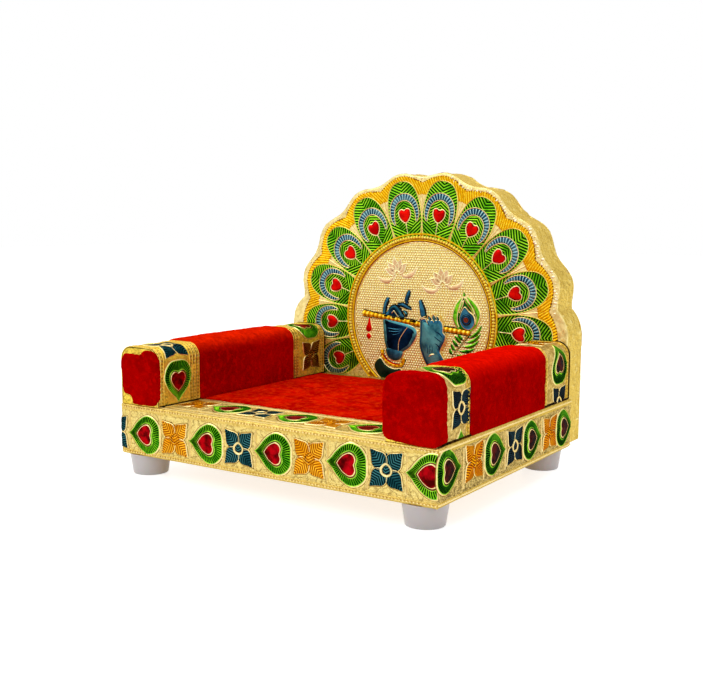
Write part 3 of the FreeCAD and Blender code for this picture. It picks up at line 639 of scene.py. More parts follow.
def onBoard(points):
    return np.column_stack([points[:, 0], throne["rear"] - points[:, 2], points[:, 1]])


def onFront(points):
    # the front strip turns round the left corner of the base
    bend = 1.6
    u, v, h = points.T
    start = -throne["halfWidth"] + bend
    turn = np.clip((start - u) / bend, 0, math.pi / 2)
    beyond = np.maximum(0, start - u - bend * math.pi / 2)
    nx, ny = -np.sin(turn), -np.cos(turn)
    x = np.maximum(u, start) + bend * nx
    y = throne["front"] + bend + bend * ny + beyond
    x = np.where(u > start, u, x)
    return np.column_stack([x + nx * h, y + ny * h, throne["floorToBase"] + v])


def onRight(points):
    return np.column_stack([throne["halfWidth"] + points[:, 2], throne["front"] + points[:, 0],
                            throne["floorToBase"] + points[:, 1]])


def onLeft(points):
    return np.column_stack([-throne["halfWidth"] - points[:, 2], throne["rear"] - points[:, 0],
                            throne["floorToBase"] + points[:, 1]])


def onTop(points):
    return np.column_stack([points[:, 0], throne["front"] + points[:, 1], throne["baseTop"] + points[:, 2]])


arm = {
    "centre": 76.5,
    "half": 12.0,
    "height": 28.8,
    "bend": 6.5,
    "rear": 59.6,
    "band": 30.0,
    "foil": 0.6,
}


def overArm(side, startY, half, height, bend):
    # s goes up the inner side, over the top and down the outer side, t goes back along the arm
    straight, quarter, across = height - bend, bend * math.pi / 2, 2 * (half - bend)

    def place(points):
        s, t, h = points.T
        first = np.clip((s - straight) / bend, 0, math.pi / 2)
        second = np.clip((s - straight - quarter - across) / bend, 0, math.pi / 2)
        angle = math.pi - first - second
        level = np.minimum(s, straight) - np.maximum(0, s - straight - 2 * quarter - across)
        over = np.clip(s - straight - quarter, 0, across)
        x = -(half - bend) + over + bend * np.cos(angle)
        z = level + bend * np.sin(angle)
        x, z = x + h * np.cos(angle), z + h * np.sin(angle)
        return np.column_stack([side * (arm["centre"] + x), startY + t, throne["baseTop"] + z])

    place.length = 2 * straight + 2 * quarter + across
    return place


# The two stamped motifs of the foil strips

leafLook = {
    "rise": 0.5,
    "ribs": 50,
    "outer": ((-10.4, 0.0), (-8.0, -1.9), (-5.8, -4.5), (-2.6, -7.4), (1.8, -9.3), (6.4, -8.1), (9.5, -4.6),
              (9.9, 0.0)),
    "inner": ((-5.9, 0.0), (-4.3, -2.2), (-2.1, -4.3), (1.2, -5.8), (3.8, -5.1), (5.0, -2.8), (4.2, 0.0)),
}


def twoSided(points, parts=8, mirror=(1, -1)):
    # a closed outline from one half, with a corner where the half starts and ends
    half = smoothPath(points, parts)
    return np.vstack([half, (half * mirror)[-2:0:-1]])


def heartOutline(scale):
    # its point lies along -v and its shallow dip along +v
    points = ((0.0, -1.0), (0.42, -0.74), (0.82, -0.26), (1.0, 0.28), (0.90, 0.78), (0.48, 0.98), (0.0, 0.80))
    return twoSided(np.array(points) * scale, 8, (-1, 1))


def leafMotif():
    plan = Plan()
    rise = leafLook["rise"]
    outline = twoSided(leafLook["outer"], 14)
    middle = (0.0, 0.0)
    rings = [withHeight(insetRing(outline, middle, depth), height)
             for depth, height in ((-1.1, -0.1), (-1.0, 0.08), (-0.7, 0.1), (-0.4, 0.3), (-0.12, rise * 0.8),
                                   (0.05, rise), (0.25, rise * 0.8))]
    cover = ["line", "line", "ridge", "ridge", "lime", "lime"]
    rim = insetRing(outline, middle, 0.3)
    inner = rayRing(twoSided(leafLook["inner"], 14), middle, outline)
    rib = 0.12 * np.cos(np.arange(len(outline)) / len(outline) * math.tau * leafLook["ribs"])
    for share, height in ((0.0, 0.36), (0.12, 0.26), (0.5, 0.34), (0.88, 0.22)):
        rings.append(withHeight(rim * (1 - share) + inner * share,
                                rise * height / 0.4 + rib * (0 < share < 0.8)))
        cover.append("ribs")
    for share, height, finish in ((1.0, 0.46, "lime"), (0.97, 0.36, "heartDark"), (0.90, 0.36, "heartDark"),
                                  (0.87, 0.52, "ridge"), (0.82, 0.52, "ridge"), (0.79, 0.36, "heartDeep"),
                                  (0.6, 0.46, "heartDeep"), (0.3, 0.6, "heartDeep"),
                                  (0.05, 0.64, "heartDeep")):
        rings.append(withHeight(inner * share, height))
        cover.append(finish)
    run = np.linspace(0, leafLook["ribs"] * 0.98, len(outline) + 1)
    plan.loft(rings, cover, along={"ribs": run})
    return plan


def petalOutline(long, half):
    along = np.array([0.15, 0.22, 0.3, 0.4, 0.5, 0.6, 0.72, 0.84, 0.93, 1.0]) * long
    across = np.array([0.55, 0.74, 0.92, 1.0, 1.0, 0.88, 0.6, 0.34, 0.18, 0.0]) * half
    side = smoothPath(np.column_stack([across, along]), 5)
    return np.vstack([side, (side * (-1, 1))[-2::-1]])


def petalPlan(long, half, fill):
    plan = Plan()
    outline = petalOutline(long, half)
    middle = (0.0, long * 0.6)
    rings = [withHeight(insetRing(outline, middle, depth), height)
             for depth, height in ((-0.6, -0.1), (-0.5, 0.1), (-0.3, 0.12), (-0.12, 0.4), (0.05, 0.5),
                                   (0.2, 0.34),
                                   (0.8, 0.38), (1.7, 0.55), (2.4, 0.6))]
    plan.loft(rings, ["line", "line", "ridge", "ridge", fill, fill, fill, fill, fill])
    return plan


def flowerMotif(fill):
    plan = Plan()
    petal = petalPlan(11.4, 3.9, fill)
    for turn in (44, -44, 134, -134):
        plan.take(petal, turn=turn)
    eye = smoothLoop([(0, -2.8), (2.3, -1.7), (2.6, 0.7), (0, 2.8), (-2.6, 0.7), (-2.3, -1.7)], 8)
    rings = [withHeight(insetRing(eye, (0, 0), depth), height)
             for depth, height in ((-0.45, -0.1), (-0.2, 0.72), (0.3, 0.85), (0.75, 0.62), (0.85, 0.4),
                                   (1.3, 0.75),
                                   (1.8, 0.9))]
    blue = fill == "petalBlue"
    # the groove ring is painted dark as shade
    plan.loft(rings, ["ridge" if blue else fill] * 3 + ["groove"] + [fill] * 3)
    for lean in (-0.5, 0.0, 0.5):
        plan.limb(smoothPath([(0, 4.2), (lean * 1.4, 5.8), (lean * 3.2, 7.4)], 5),
                  np.interp(np.linspace(0, 1, 11), (0, 0.6, 1), (0.15, 0.62, 0.1)), 0.4, fill)
    return plan


leaf, blueFlower, orangeFlower = leafMotif(), flowerMotif("petalBlue"), flowerMotif("petalOrange")
print("strip motifs drawn")

strip = {
    "pitch": 19.9,
    "middle": 12.4,
    "lineWidth": 0.4,
    "lineRise": 0.28,
}


def stripPlate(plan, low, high, ground="ground"):
    # the foil itself, with its hems and long lines pressed in
    levels = ((0.0, -0.55), (0.12, -0.2), (0.4, 0.0), (0.55, 0.12), (1.3, 0.2), (2.2, 0.14), (2.35, 0.0),
              (2.6, 0.26), (2.85, 0.0), (3.1, 0.0), (3.35, 0.26), (3.6, 0.0), (21.6, 0.0), (21.85, 0.28),
              (22.15, 0.0), (22.6, 0.02), (23.2, 0.16), (24.2, 0.2), (24.6, 0.05), (24.88, -0.2),
              (25.0, -0.55))
    v = np.array([level for level, _ in levels])
    h = np.array([height for _, height in levels])
    fine = np.interp(np.linspace(0, len(v) - 1, 60), np.arange(len(v)), v)
    rise = np.interp(fine, v, h)
    u, v = np.meshgrid(np.linspace(low, high, int((high - low) / 0.9)), fine)
    wobble = softNoise(u, v, 3.0, 11) * 0.05 + softNoise(u, v, 9.0, 12) * 0.05
    drift = softNoise(u, v, 14.0, 13) * 0.12 * ((v > 1) & (v < 24))
    top = rise[:, None] + wobble
    # both border bands take the darker band foil, painted shade round their leaflets
    for first, last, finish in ((0, 20, "band"), (19, 42, ground), (41, 60, "band")):
        part = slice(first, last)
        plan.shell(u[part], (v + drift)[part], top[part], finish, bottom=-0.58)


def cellLines(plan, u):
    # two upright lines beside a flower
    for side in (-1, 1):
        for offset in (9.3, 10.0):
            path = np.column_stack([np.linspace(0, 0.25, 14) + u + side * offset, np.linspace(3.7, 21.5, 14)])
            plan.limb(path, strip["lineWidth"] / 2, strip["lineRise"], "ridge", 5)


def motifRow(plan, kinds, spots, middle, tip, climb=0.0, swap=None):
    for kind, spot in zip(kinds, spots):
        place = (spot, middle + spot * climb)
        if kind == "H":
            plan.take(leaf, place, tip, swap=swap)
        else:
            plan.take(orangeFlower if kind == "O" else blueFlower, place, swap=swap)
            cellLines(plan, place[0])


# darker copies of the motif finishes, painted shade, for the right side of the base and the right arm;
# heartDark, the dark ring of each leaf, also stands in for the shaded heart
shadeSwap = {"petalBlue": "petalBlueShade", "heartDeep": "heartDark", "petalOrange": "petalOrangeShade",
            "ribs": "ribsNight"}
half = throne["halfWidth"]
frontStrip = Plan()
stripPlate(frontStrip, -half - 0.8, half)
motifRow(frontStrip, "BHOHBHOHBH", -93.4 + strip["pitch"] * np.arange(10), 12.1, 0, 0.0155)
frontStrip.build("frontStrip", onFront, "enamelled_foil", ["base_foil_front"],
                 cuts=[((half + 0.01, 0, 0), (1, 0, 0)), ((0, 0, throne["floorToBase"]), (0, 0, -1))])

sideDepth = throne["rear"] - throne["front"]
rightStrip = Plan()
# the right strip takes the darker ground foil, painted shade
stripPlate(rightStrip, 0.0, sideDepth, "sideGround")
# its motifs take the darker copies, painted shade
motifRow(rightStrip, "HOHBHOH", (8.9, 31.4, 51.9, 72.4, 91.9, 112.9, 131.4), 14.6, 180, -0.022, shadeSwap)
rightStrip.build("rightStrip", onRight, "enamelled_foil", ["base_foil_right"],
                 cuts=[((0, throne["rear"], 0), (0, 1, 0))])

leftStrip = Plan()
stripPlate(leftStrip, 0.0, sideDepth - 1.4)
motifRow(leftStrip, "HOHBHOH", sideDepth - 23.3 + strip["pitch"] * np.arange(-6, 1), strip["middle"], 180)
leftStrip.build("leftStrip", onLeft, "enamelled_foil", ["base_foil_left"],
                cuts=[((0, throne["front"] + 1.2, 0), (0, -1, 0)), ((0, throne["rear"], 0), (0, 1, 0))])
print("strips round the base done")

# Top of the base: a smooth foil sheet with one row of motifs in front of the seat

top = {
    "half": 89.4,
    "cut": 89.3,
    "motifs": (-54.0, -34.2, -14.5, 5.2, 25.0, 45.0),
    "middle": 17.3,
    "lines": (1.3, 5.2, 6.0, 28.6, 29.4),
    "rearHalf": 62.8,
    "rearFrom": 133.0,
    "rearTo": 139.95,
    "leaflets": 13,
    "leafletPitch": 10.0,
}

topStrip = Plan()
u, v = np.meshgrid(np.linspace(-top["half"], top["half"], 200),
                   np.concatenate([[0.0, 0.15, 0.5, 1.0], np.linspace(1.6, 139.9, 150)]))
edge = np.minimum(np.minimum(v, top["half"] - np.abs(u)) / 0.9, 1.0)
rise = -0.5 * (1 - edge) ** 2 + softNoise(u, v, 7.0, 21) * 0.12 + softNoise(u, v, 2.2, 22) * 0.04
topStrip.shell(u, v, np.minimum(rise, 0.15), "ground", bottom=-0.58)
motifRow(topStrip, "OHBHOH", top["motifs"], top["middle"], 0)
for level in top["lines"]:
    path = np.column_stack([np.linspace(-89.0, 89.0, 60), np.full(60, level)])
    topStrip.limb(path, 0.22, 0.3, "ridge", 5)
topStrip.build("topSheet", onTop, "enamelled_foil", ["base_foil_top"],
               cuts=[((-top["cut"], 0, 0), (-1, 0, 0)), ((top["cut"], 0, 0), (1, 0, 0)),
                     ((0, throne["front"] + 0.02, 0), (0, -1, 0))])

rearStrip = Plan()
u, v = np.meshgrid(np.linspace(-top["rearHalf"], top["rearHalf"], 120),
                   np.linspace(top["rearFrom"], top["rearTo"], 12))
rearStrip.shell(u, v, 0.36 + softNoise(u, v, 4.0, 31) * 0.05, "ground")
for index in range(top["leaflets"]):
    spot = -60.0 + index * top["leafletPitch"]
    path = smoothPath([(spot - 4.6, 134.3), (spot - 1.5, 135.4), (spot + 1.8, 136.0), (spot + 4.6, 138.4)], 5)
    rearStrip.limb(path, swell(path, (0, 0.5, 1), (0.1, 0.75, 0.1)), 0.25,
                   "green" if index % 3 else "petalOrange", base=0.36)
rearStrip.build("rearStrip", onTop, "enamelled_foil", ["base_foil_rear"],
                cuts=[((top["rearHalf"], 0, 0), (1, 0, 0)), ((-top["rearHalf"], 0, 0), (-1, 0, 0))])
print("top of the base done")

# Back board: sheet with its hem, crimps, feathers, ring and medallion

fan = {
    "centre": 70.5,
    "lobeCentre": (0.9, 69.6),
    "lobe": 20.7,
    "notch": 79.75,
    "notchSpread": 1.5,
    "peak": 82.55,
    "peakSpread": 2.1,
    "boardHalf": 87.3,
    "shoulder": 66.0,
    "foot": 10.2,
}


def polar(radius, angle):
    # the angle is in degrees from straight up, to the right
    return np.column_stack([np.asarray(radius) * np.sin(np.radians(angle)),
                            np.asarray(radius) * np.cos(np.radians(angle)) + fan["centre"]])


def aroundLobes(radius, angle):
    return polar(radius, angle) + np.array(fan["lobeCentre"]) - (0.0, fan["centre"])


def lobeRadius(angle, drop=0.0):
    # a wavy edge, with a notch at each whole lobe and a swelling between
    angle = np.asarray(angle, float)
    swing = np.sin(np.radians(angle)) ** 2
    notch = fan["notch"] + fan["notchSpread"] * swing
    peak = fan["peak"] + fan["peakSpread"] * swing
    return notch + (peak - notch) * (0.5 - 0.5 * np.cos(angle / fan["lobe"] * math.tau)) - drop


def shoulderPath(corner, side):
    # from the straight side up to the last notch, on the right
    across, up = side - corner[0], corner[1] - fan["shoulder"]
    radius = (across ** 2 + up ** 2) / (2 * across)
    turn = np.linspace(0, math.atan2(up, radius - across), 24)
    return np.column_stack([side - radius + radius * np.cos(turn), fan["shoulder"] + radius * np.sin(turn)])


def boardLoop(drop=0.0, step=0.9):
    last = 4 * fan["lobe"]
    angles = np.linspace(last, -last, int(2 * math.radians(last) * 82 / step))
    arc = aroundLobes(lobeRadius(angles, drop), angles)
    side, foot = fan["boardHalf"] - drop, fan["foot"]
    right, left = shoulderPath(arc[0], side), shoulderPath(arc[-1] * (-1, 1), side) * (-1, 1)
    low = np.column_stack([np.linspace(-side, side, 60), np.full(60, foot)])
    rise = np.column_stack([np.full(30, side), np.linspace(foot, fan["shoulder"], 32)[1:-1]])
    return np.vstack([arc[1:-1], left[::-1], rise[::-1] * (-1, 1), low, rise, right])


aboveSeat = [((0, 0, throne["seatLevel"]), (0, 0, -1))]
outline = boardLoop()
backSheet = Plan()
middle = (0.0, fan["centre"])
rings = []
for depth, height in ((0.0, -0.58), (0.0, -0.3), (0.18, -0.08), (0.5, 0.06), (1.2, 0.12), (2.0, 0.05),
                      (3.2, 0.0)):
    rings.append(withHeight(insetRing(outline, middle, depth) if depth else outline.copy(), height))
for share in (0.25, 0.55, 0.85, 0.99):
    rings.append(withHeight(rings[6][:, :2] * (1 - share) + np.array(middle) * share, 0.0))
for ring in rings[2:6]:
    ring[:, 2] += softNoise(ring[:, 0], ring[:, 1], 3.0, 41) * 0.12
backSheet.loft(rings, ["hem"] * 7 + ["ground"] * 4)

backSheet.build("backSheet", onBoard, "enamelled_foil", ["back_foil_front"])

# crimps where the foil was pressed round the edge; their pale colour is partly the foil's own, partly painted
# highlight
crimps = Plan()
shake = np.random.RandomState(44)
for angle in np.concatenate([np.arange(12.0, 84.0, 1.15), np.arange(-80.0, 8.0, 4.0)]):
    angle = angle + shake.uniform(-0.4, 0.4)
    size = shake.uniform(0.45, 1.15) * (1 if angle > 10 else 0.6)
    radius = lobeRadius(angle) - shake.uniform(0.7, 2.6)
    ends = aroundLobes(np.array([radius - size, radius, radius + size]),
                       angle + np.array([-0.3, 0.1, 0.3]) * shake.uniform(-1, 1))
    crimps.limb(smoothPath(ends, 3), np.array([0.2, 0.7, 0.95, 1.0, 0.95, 0.7, 0.2]) * size * 0.7, 0.65,
                "crimp", 5)
crimps.build("edgeCrimps", onBoard, "enamelled_foil")

feather = {
    "tip": 78.2,
    "widest": 60.5,
    "half": 10.25,
    "full": 2.5,
    "foot": 7.3,
    "start": 46.0,
    "heart": 59.2,
    "crescent": ((6.9, 55.2), (7.8, 58.5), (7.75, 62.0), (6.6, 65.8), (3.8, 68.7), (0.0, 69.7)),
    "crescentHalves": (0.1, 0.8, 1.15, 1.45, 1.65, 1.7),
    "eye": ((0.0, 50.6), (3.4, 52.2), (5.6, 56.0), (6.2, 60.5), (5.4, 64.4), (3.0, 66.9), (0.0, 67.6)),
    "bandTop": 81.0,
    "bandDrop": 4.6,
    "bandFoot": 69.8,
}


def featherOutline():
    sweep = np.linspace(0, math.pi, 61)
    power = 2 / feather["full"]
    top = np.column_stack([feather["half"] * np.sign(np.cos(sweep)) * np.abs(np.cos(sweep)) ** power,
                           feather["widest"] + (feather["tip"] - feather["widest"]) * np.sin(sweep) ** power])
    share = np.linspace(0, 1, 20)[1:]
    width = feather["foot"] + (feather["half"] - feather["foot"]) * np.cos(share * math.pi / 2)
    along = feather["widest"] - share * (feather["widest"] - feather["start"])
    return np.vstack([top, np.column_stack([-width, along]), np.column_stack([width, along])[::-1]]), top


def featherPlan():
    plan = Plan()
    outline, top = featherOutline()
    middle = (0.0, feather["widest"])
    rings = insetRings(outline, middle, ((-0.5, -0.1), (-0.35, 0.42), (-0.1, 0.6), (0.12, 0.42), (0.4, 0.34),
                                         (2.5, 0.42), (5.0, 0.46), (8.0, 0.46)))
    plan.loft(rings, ["ridge", "rim", "rim"] + ["barbs"] * 6)
    # a pressed line in the gap beside the feather
    gap = np.array([(0.0, feather["bandFoot"] + 0.4), (0.0, 50.0)])
    turned = math.radians(fan["lobe"] / 2)
    gap = np.linspace(gap[0], gap[1], 14)
    gap = np.column_stack([-gap[:, 1] * math.sin(turned), gap[:, 1] * math.cos(turned)])
    plan.limb(gap, np.linspace(0.42, 0.2, 14), 0.4, "ridge", 5)
    heartAt = (0.0, feather["heart"])
    # the green eye inside the crescent
    eye = twoSided(feather["eye"], 8, (-1, 1))
    rings = insetRings(eye, heartAt, ((0.1, 0.3), (0.2, 0.5), (0.4, 0.52), (2.0, 0.54)))
    plan.loft(rings, ["fishbone"] * 4)
    # the crescent, open towards the ring
    arm = np.array(feather["crescent"])
    path = smoothPath(np.vstack([arm, (arm * (-1, 1))[-2::-1]]), 6)
    knots = np.concatenate([feather["crescentHalves"], feather["crescentHalves"][-2::-1]])
    widths = np.interp(np.linspace(0, 10, len(path)), np.arange(11), knots)
    normal = np.column_stack([-np.gradient(path[:, 1]), np.gradient(path[:, 0])])
    normal /= np.linalg.norm(normal, axis=1)[:, None]
    for out in (-1, 1):
        plan.limb(path + normal * (out * (widths + 0.28))[:, None], 0.32, 0.5, "ridge", 5, base=0.42)
    plan.limb(path, widths, 0.2, "ticks", 7, base=0.58, sunk=-0.5)
    # heart and stem
    stem = np.column_stack([np.zeros(14), np.linspace(feather["heart"] - 3.4, feather["start"] + 1.5, 14)])
    plan.limb(stem, np.linspace(0.5, 0.3, 14), 0.78, "ridge", 5)
    heart = heartOutline((3.8, 3.9)) + heartAt
    rings = insetRings(heart, heartAt, ((-0.5, 0.3), (-0.3, 0.72), (0.05, 0.8), (0.22, 0.66), (0.7, 0.84),
                                        (1.6, 1.1), (2.6, 1.15)))
    plan.loft(rings, ["ridge"] * 3 + ["heartDeep", "heartRed", "heartRed", "heartRed"])
    # the orange field round its top, up to half-way to the next feather
    turn = np.radians(np.linspace(-fan["lobe"] / 2, fan["lobe"] / 2, 61) * 0.998)
    bearing, reach = np.arctan2(top[:, 0], top[:, 1]), np.hypot(top[:, 0], top[:, 1])
    upper = reach > feather["bandFoot"]
    inner = np.interp(turn, bearing[upper][::-1], reach[upper][::-1], feather["bandFoot"],
                      feather["bandFoot"])
    share = np.abs(turn) / turn.max()
    outer = feather["bandTop"] - feather["bandDrop"] * share ** 1.6
    rows = np.array([0.0, 0.06, 0.14, 0.3, 0.5, 0.7, 0.86, 0.94, 1.0])
    radius = inner[None] * (1 - rows[:, None]) + outer[None] * rows[:, None] + 0.15
    bearing = np.broadcast_to(turn, radius.shape)
    lump = 0.14 * softNoise(bearing * 70, radius, 1.1, 47) + 0.08 * softNoise(bearing * 70, radius, 0.6, 48)
    lump = lump + 0.08 * np.sin((turn[None] * 74.0 / 1.5 + radius * 0.3) * math.tau)
    rise = np.array([0.1, 0.3, 0.38, 0.42, 0.46, 0.48, 0.5, 0.42, 0.0])[:, None] + lump
    plan.shell(-radius * np.sin(bearing), radius * np.cos(bearing), rise, "rope", bottom=-0.05)
    faces, finish, _ = plan.groups[-3]
    row, column = (faces - faces.min()) // len(turn), (faces - faces.min()) % len(turn)
    plan.groups[-3] = (faces, finish, np.stack([radius[row, column] - 62.0, turn[column] * 74.0], axis=-1))
    # curls along its outer edge
    for index in range(3, len(turn) - 3, 3):
        spot, off = turn[index], outer[index] - 0.35
        curl = np.array([(spot - 0.011, off - 0.35), (spot - 0.002, off + 0.3), (spot + 0.008, off + 0.1)])
        plan.limb(np.column_stack([-curl[:, 1] * np.sin(curl[:, 0]), curl[:, 1] * np.cos(curl[:, 0])]),
                  np.array([0.2, 0.34, 0.1]), 0.72, "ropeDark", 5)
    return plan


oneFeather = featherPlan()
featherAngles = [(index + 0.5) * fan["lobe"] for index in range(-6, 6)]
for group, angles in (("feathersLeft", featherAngles[:6]), ("feathersRight", featherAngles[6:])):
    plan = Plan()
    for angle in angles:
        plan.take(oneFeather, fan["lobeCentre"], -angle)
    plan.build(group, onBoard, "enamelled_foil", cuts=aboveSeat)
print("feathers done")

ring = {
    "beadCircle": 45.75,
    "beadPitch": 1.72,
    "reach": 143.0,
    "discRadius": 43.3,
    "dotPitch": 1.58,
    "dotRadius": 0.69,
    "dotRise": 0.42,
}

ringPlan = Plan()
angle = np.linspace(-ring["reach"], ring["reach"], 340)
profile = ((48.2, -0.1), (48.1, 0.6), (47.85, 0.95), (47.5, 0.95), (47.2, 0.6), (47.0, 0.3), (44.75, 0.3),
           (44.6, 0.6), (44.4, 0.92), (44.1, 0.92), (43.85, 0.5), (43.65, 0.02))
radius, rise = np.array([item[0] for item in profile]), np.array([item[1] for item in profile])
for low, high, finish in ((0, 6, "lacquer"), (5, 8, "amber"), (7, 12, "lacquer")):
    part = slice(low, high)
    spots = polar(np.repeat(radius[part], len(angle)), np.tile(angle, high - low)).reshape(high - low,
                                                                                           len(angle), 2)
    level = np.broadcast_to(rise[part, None], spots.shape[:2])
    ringPlan.shell(spots[..., 0], spots[..., 1], level, finish, bottom=-0.12)
groove = polar(np.full(len(angle), 43.45), angle)
ringPlan.limb(groove[::-1], 0.22, 0.08, "brown", 5)
rimLine = polar(np.full(len(angle), 43.0), angle)
ringPlan.limb(rimLine[::-1], 0.3, 0.35, "ridge", 5)
ringPlan.build("medallionRing", onBoard, "enamelled_foil", cuts=aboveSeat)


# Geometry Nodes for what repeats


def socketNames(tree):
    return {item.name: item.identifier for item in tree.interface.items_tree if item.item_type == "SOCKET"
            and item.in_out == "INPUT"}


def newTree(name, inputs):
    tree = bpy.data.node_groups.new(name, "GeometryNodeTree")
    tree.interface.new_socket("Geometry", in_out="INPUT", socket_type="NodeSocketGeometry")
    for label, value in inputs.items():
        socket = tree.interface.new_socket(label, in_out="INPUT", socket_type="NodeSocketFloat")
        socket.default_value = value
    tree.interface.new_socket("Geometry", in_out="OUTPUT", socket_type="NodeSocketGeometry")
    return tree, tree.nodes.new("NodeGroupInput"), tree.nodes.new("NodeGroupOutput")


def beadTree():
    # domes along a line, each turned with it
    tree, source, sink = newTree("beadsAlongLine", {"Pitch": 0.002, "Long": 0.0008, "Wide": 0.0008,
                                                    "High": 0.0008,
                                                    "Turn": 0.0})
    node, link = tree.nodes.new, tree.links.new
    curve, points, ball = node("GeometryNodeMeshToCurve"), node("GeometryNodeCurveToPoints"), \
        node("GeometryNodeMeshUVSphere")
    points.mode = "LENGTH"
    ball.inputs["Segments"].default_value, ball.inputs["Rings"].default_value = 10, 6
    ball.inputs["Radius"].default_value = 1.0
    size, spin = node("ShaderNodeCombineXYZ"), node("ShaderNodeCombineXYZ")
    place, turn, real, paint = node("GeometryNodeInstanceOnPoints"), node("GeometryNodeRotateInstances"), \
        node("GeometryNodeRealizeInstances"), node("GeometryNodeSetMaterial")
    smooth = node("GeometryNodeSetShadeSmooth")
    link(source.outputs["Geometry"], curve.inputs[0])
    link(curve.outputs[0], points.inputs[0])
    link(source.outputs["Pitch"], points.inputs["Length"])
    for axis, label in zip("XYZ", ("Wide", "High", "Long")):
        link(source.outputs[label], size.inputs[axis])
    link(points.outputs["Points"], place.inputs["Points"])
    link(points.outputs["Rotation"], place.inputs["Rotation"])
    link(ball.outputs[0], place.inputs["Instance"])
    link(size.outputs[0], place.inputs["Scale"])
    link(source.outputs["Turn"], spin.inputs["Y"])
    link(place.outputs[0], turn.inputs["Instances"])
    link(spin.outputs[0], turn.inputs["Rotation"])
    link(turn.outputs[0], real.inputs[0])
    link(real.outputs[0], smooth.inputs[0])
    link(smooth.outputs[0], paint.inputs[0])
    link(paint.outputs[0], sink.inputs[0])
    return tree, paint


def grown(name, mesh, makeTree, finish, sizes):
    # runs a tree on a helper object and keeps the mesh that it makes, sizes in metres
    holder = bpy.data.objects.new(mesh.name, mesh)
    bpy.context.scene.collection.objects.link(holder)
    tree, paint = makeTree()
    paint.inputs["Material"].default_value = finishes[finish]
    modifier = holder.modifiers.new("grown", "NODES")
    modifier.node_group = tree
    idents = socketNames(tree)
    for label, value in sizes.items():
        modifier[idents[label]] = value
    graph = bpy.context.evaluated_depsgraph_get()
    made = bpy.data.meshes.new_from_object(holder.evaluated_get(graph), depsgraph=graph)
    made.name = name
    holder.modifiers.clear()
    bpy.data.objects.remove(holder)
    return made


def repeatAlong(name, lines, finish, **sizes):
    # lines are lists of points in metres
    mesh = bpy.data.meshes.new(name + "Line")
    points, edges = [], []
    for line in lines:
        edges.extend((len(points) + index, len(points) + index + 1) for index in range(len(line) - 1))
        points.extend(tuple(float(value) for value in point) for point in line)
    mesh.from_pydata(points, edges, [])
    return settle(grown(name, mesh, beadTree, finish, sizes), name, smooth=60.0)


# the darker ground between the dots is painted shade
discPlan = Plan()
turn = np.linspace(0, math.tau, 181)[:-1]
discEdge = np.column_stack([np.cos(turn), np.sin(turn)]) * (ring["discRadius"] - 0.3) + middle
discRings = [withHeight((discEdge - middle) * share + middle, height)
             for share, height in ((1.0, -0.1), (1.0, 0.06), (0.7, 0.06), (0.35, 0.06))]
discPlan.loft(discRings, ["disc"] * 4)
discPlan.build("discGround", onBoard, "enamelled_foil", cuts=aboveSeat)

angle = np.linspace(-134.0, 134.0, 400)
circle = polar(np.full(len(angle), ring["beadCircle"]), angle)
repeatAlong("ringBeads", [onBoard(withHeight(circle, 0.55)) * mm], "bead", Pitch=ring["beadPitch"] * mm,
            Long=0.00084, Wide=0.00115, High=0.00098)


leaflet = {"Pitch": 0.0017, "Long": 0.00115, "Wide": 0.00042, "High": 0.00042, "Turn": 0.6}


def leafletLines(place, low, high):
    # one line along each border of a strip
    along = np.arange(low, high, 1.0)
    return [place(withHeight(np.column_stack([along, np.full(len(along), level)]), 0.16)) * mm
            for level in (1.35, 23.7)]


sideLines = leafletLines(onRight, 1.0, sideDepth - 0.5) + leafletLines(onLeft, 1.0, sideDepth - 2.0)
repeatAlong("frontLeaflets", leafletLines(onFront, -half + 2.0, half - 0.5), "ridge", **leaflet)
repeatAlong("sideLeaflets", sideLines, "ridge", **leaflet)


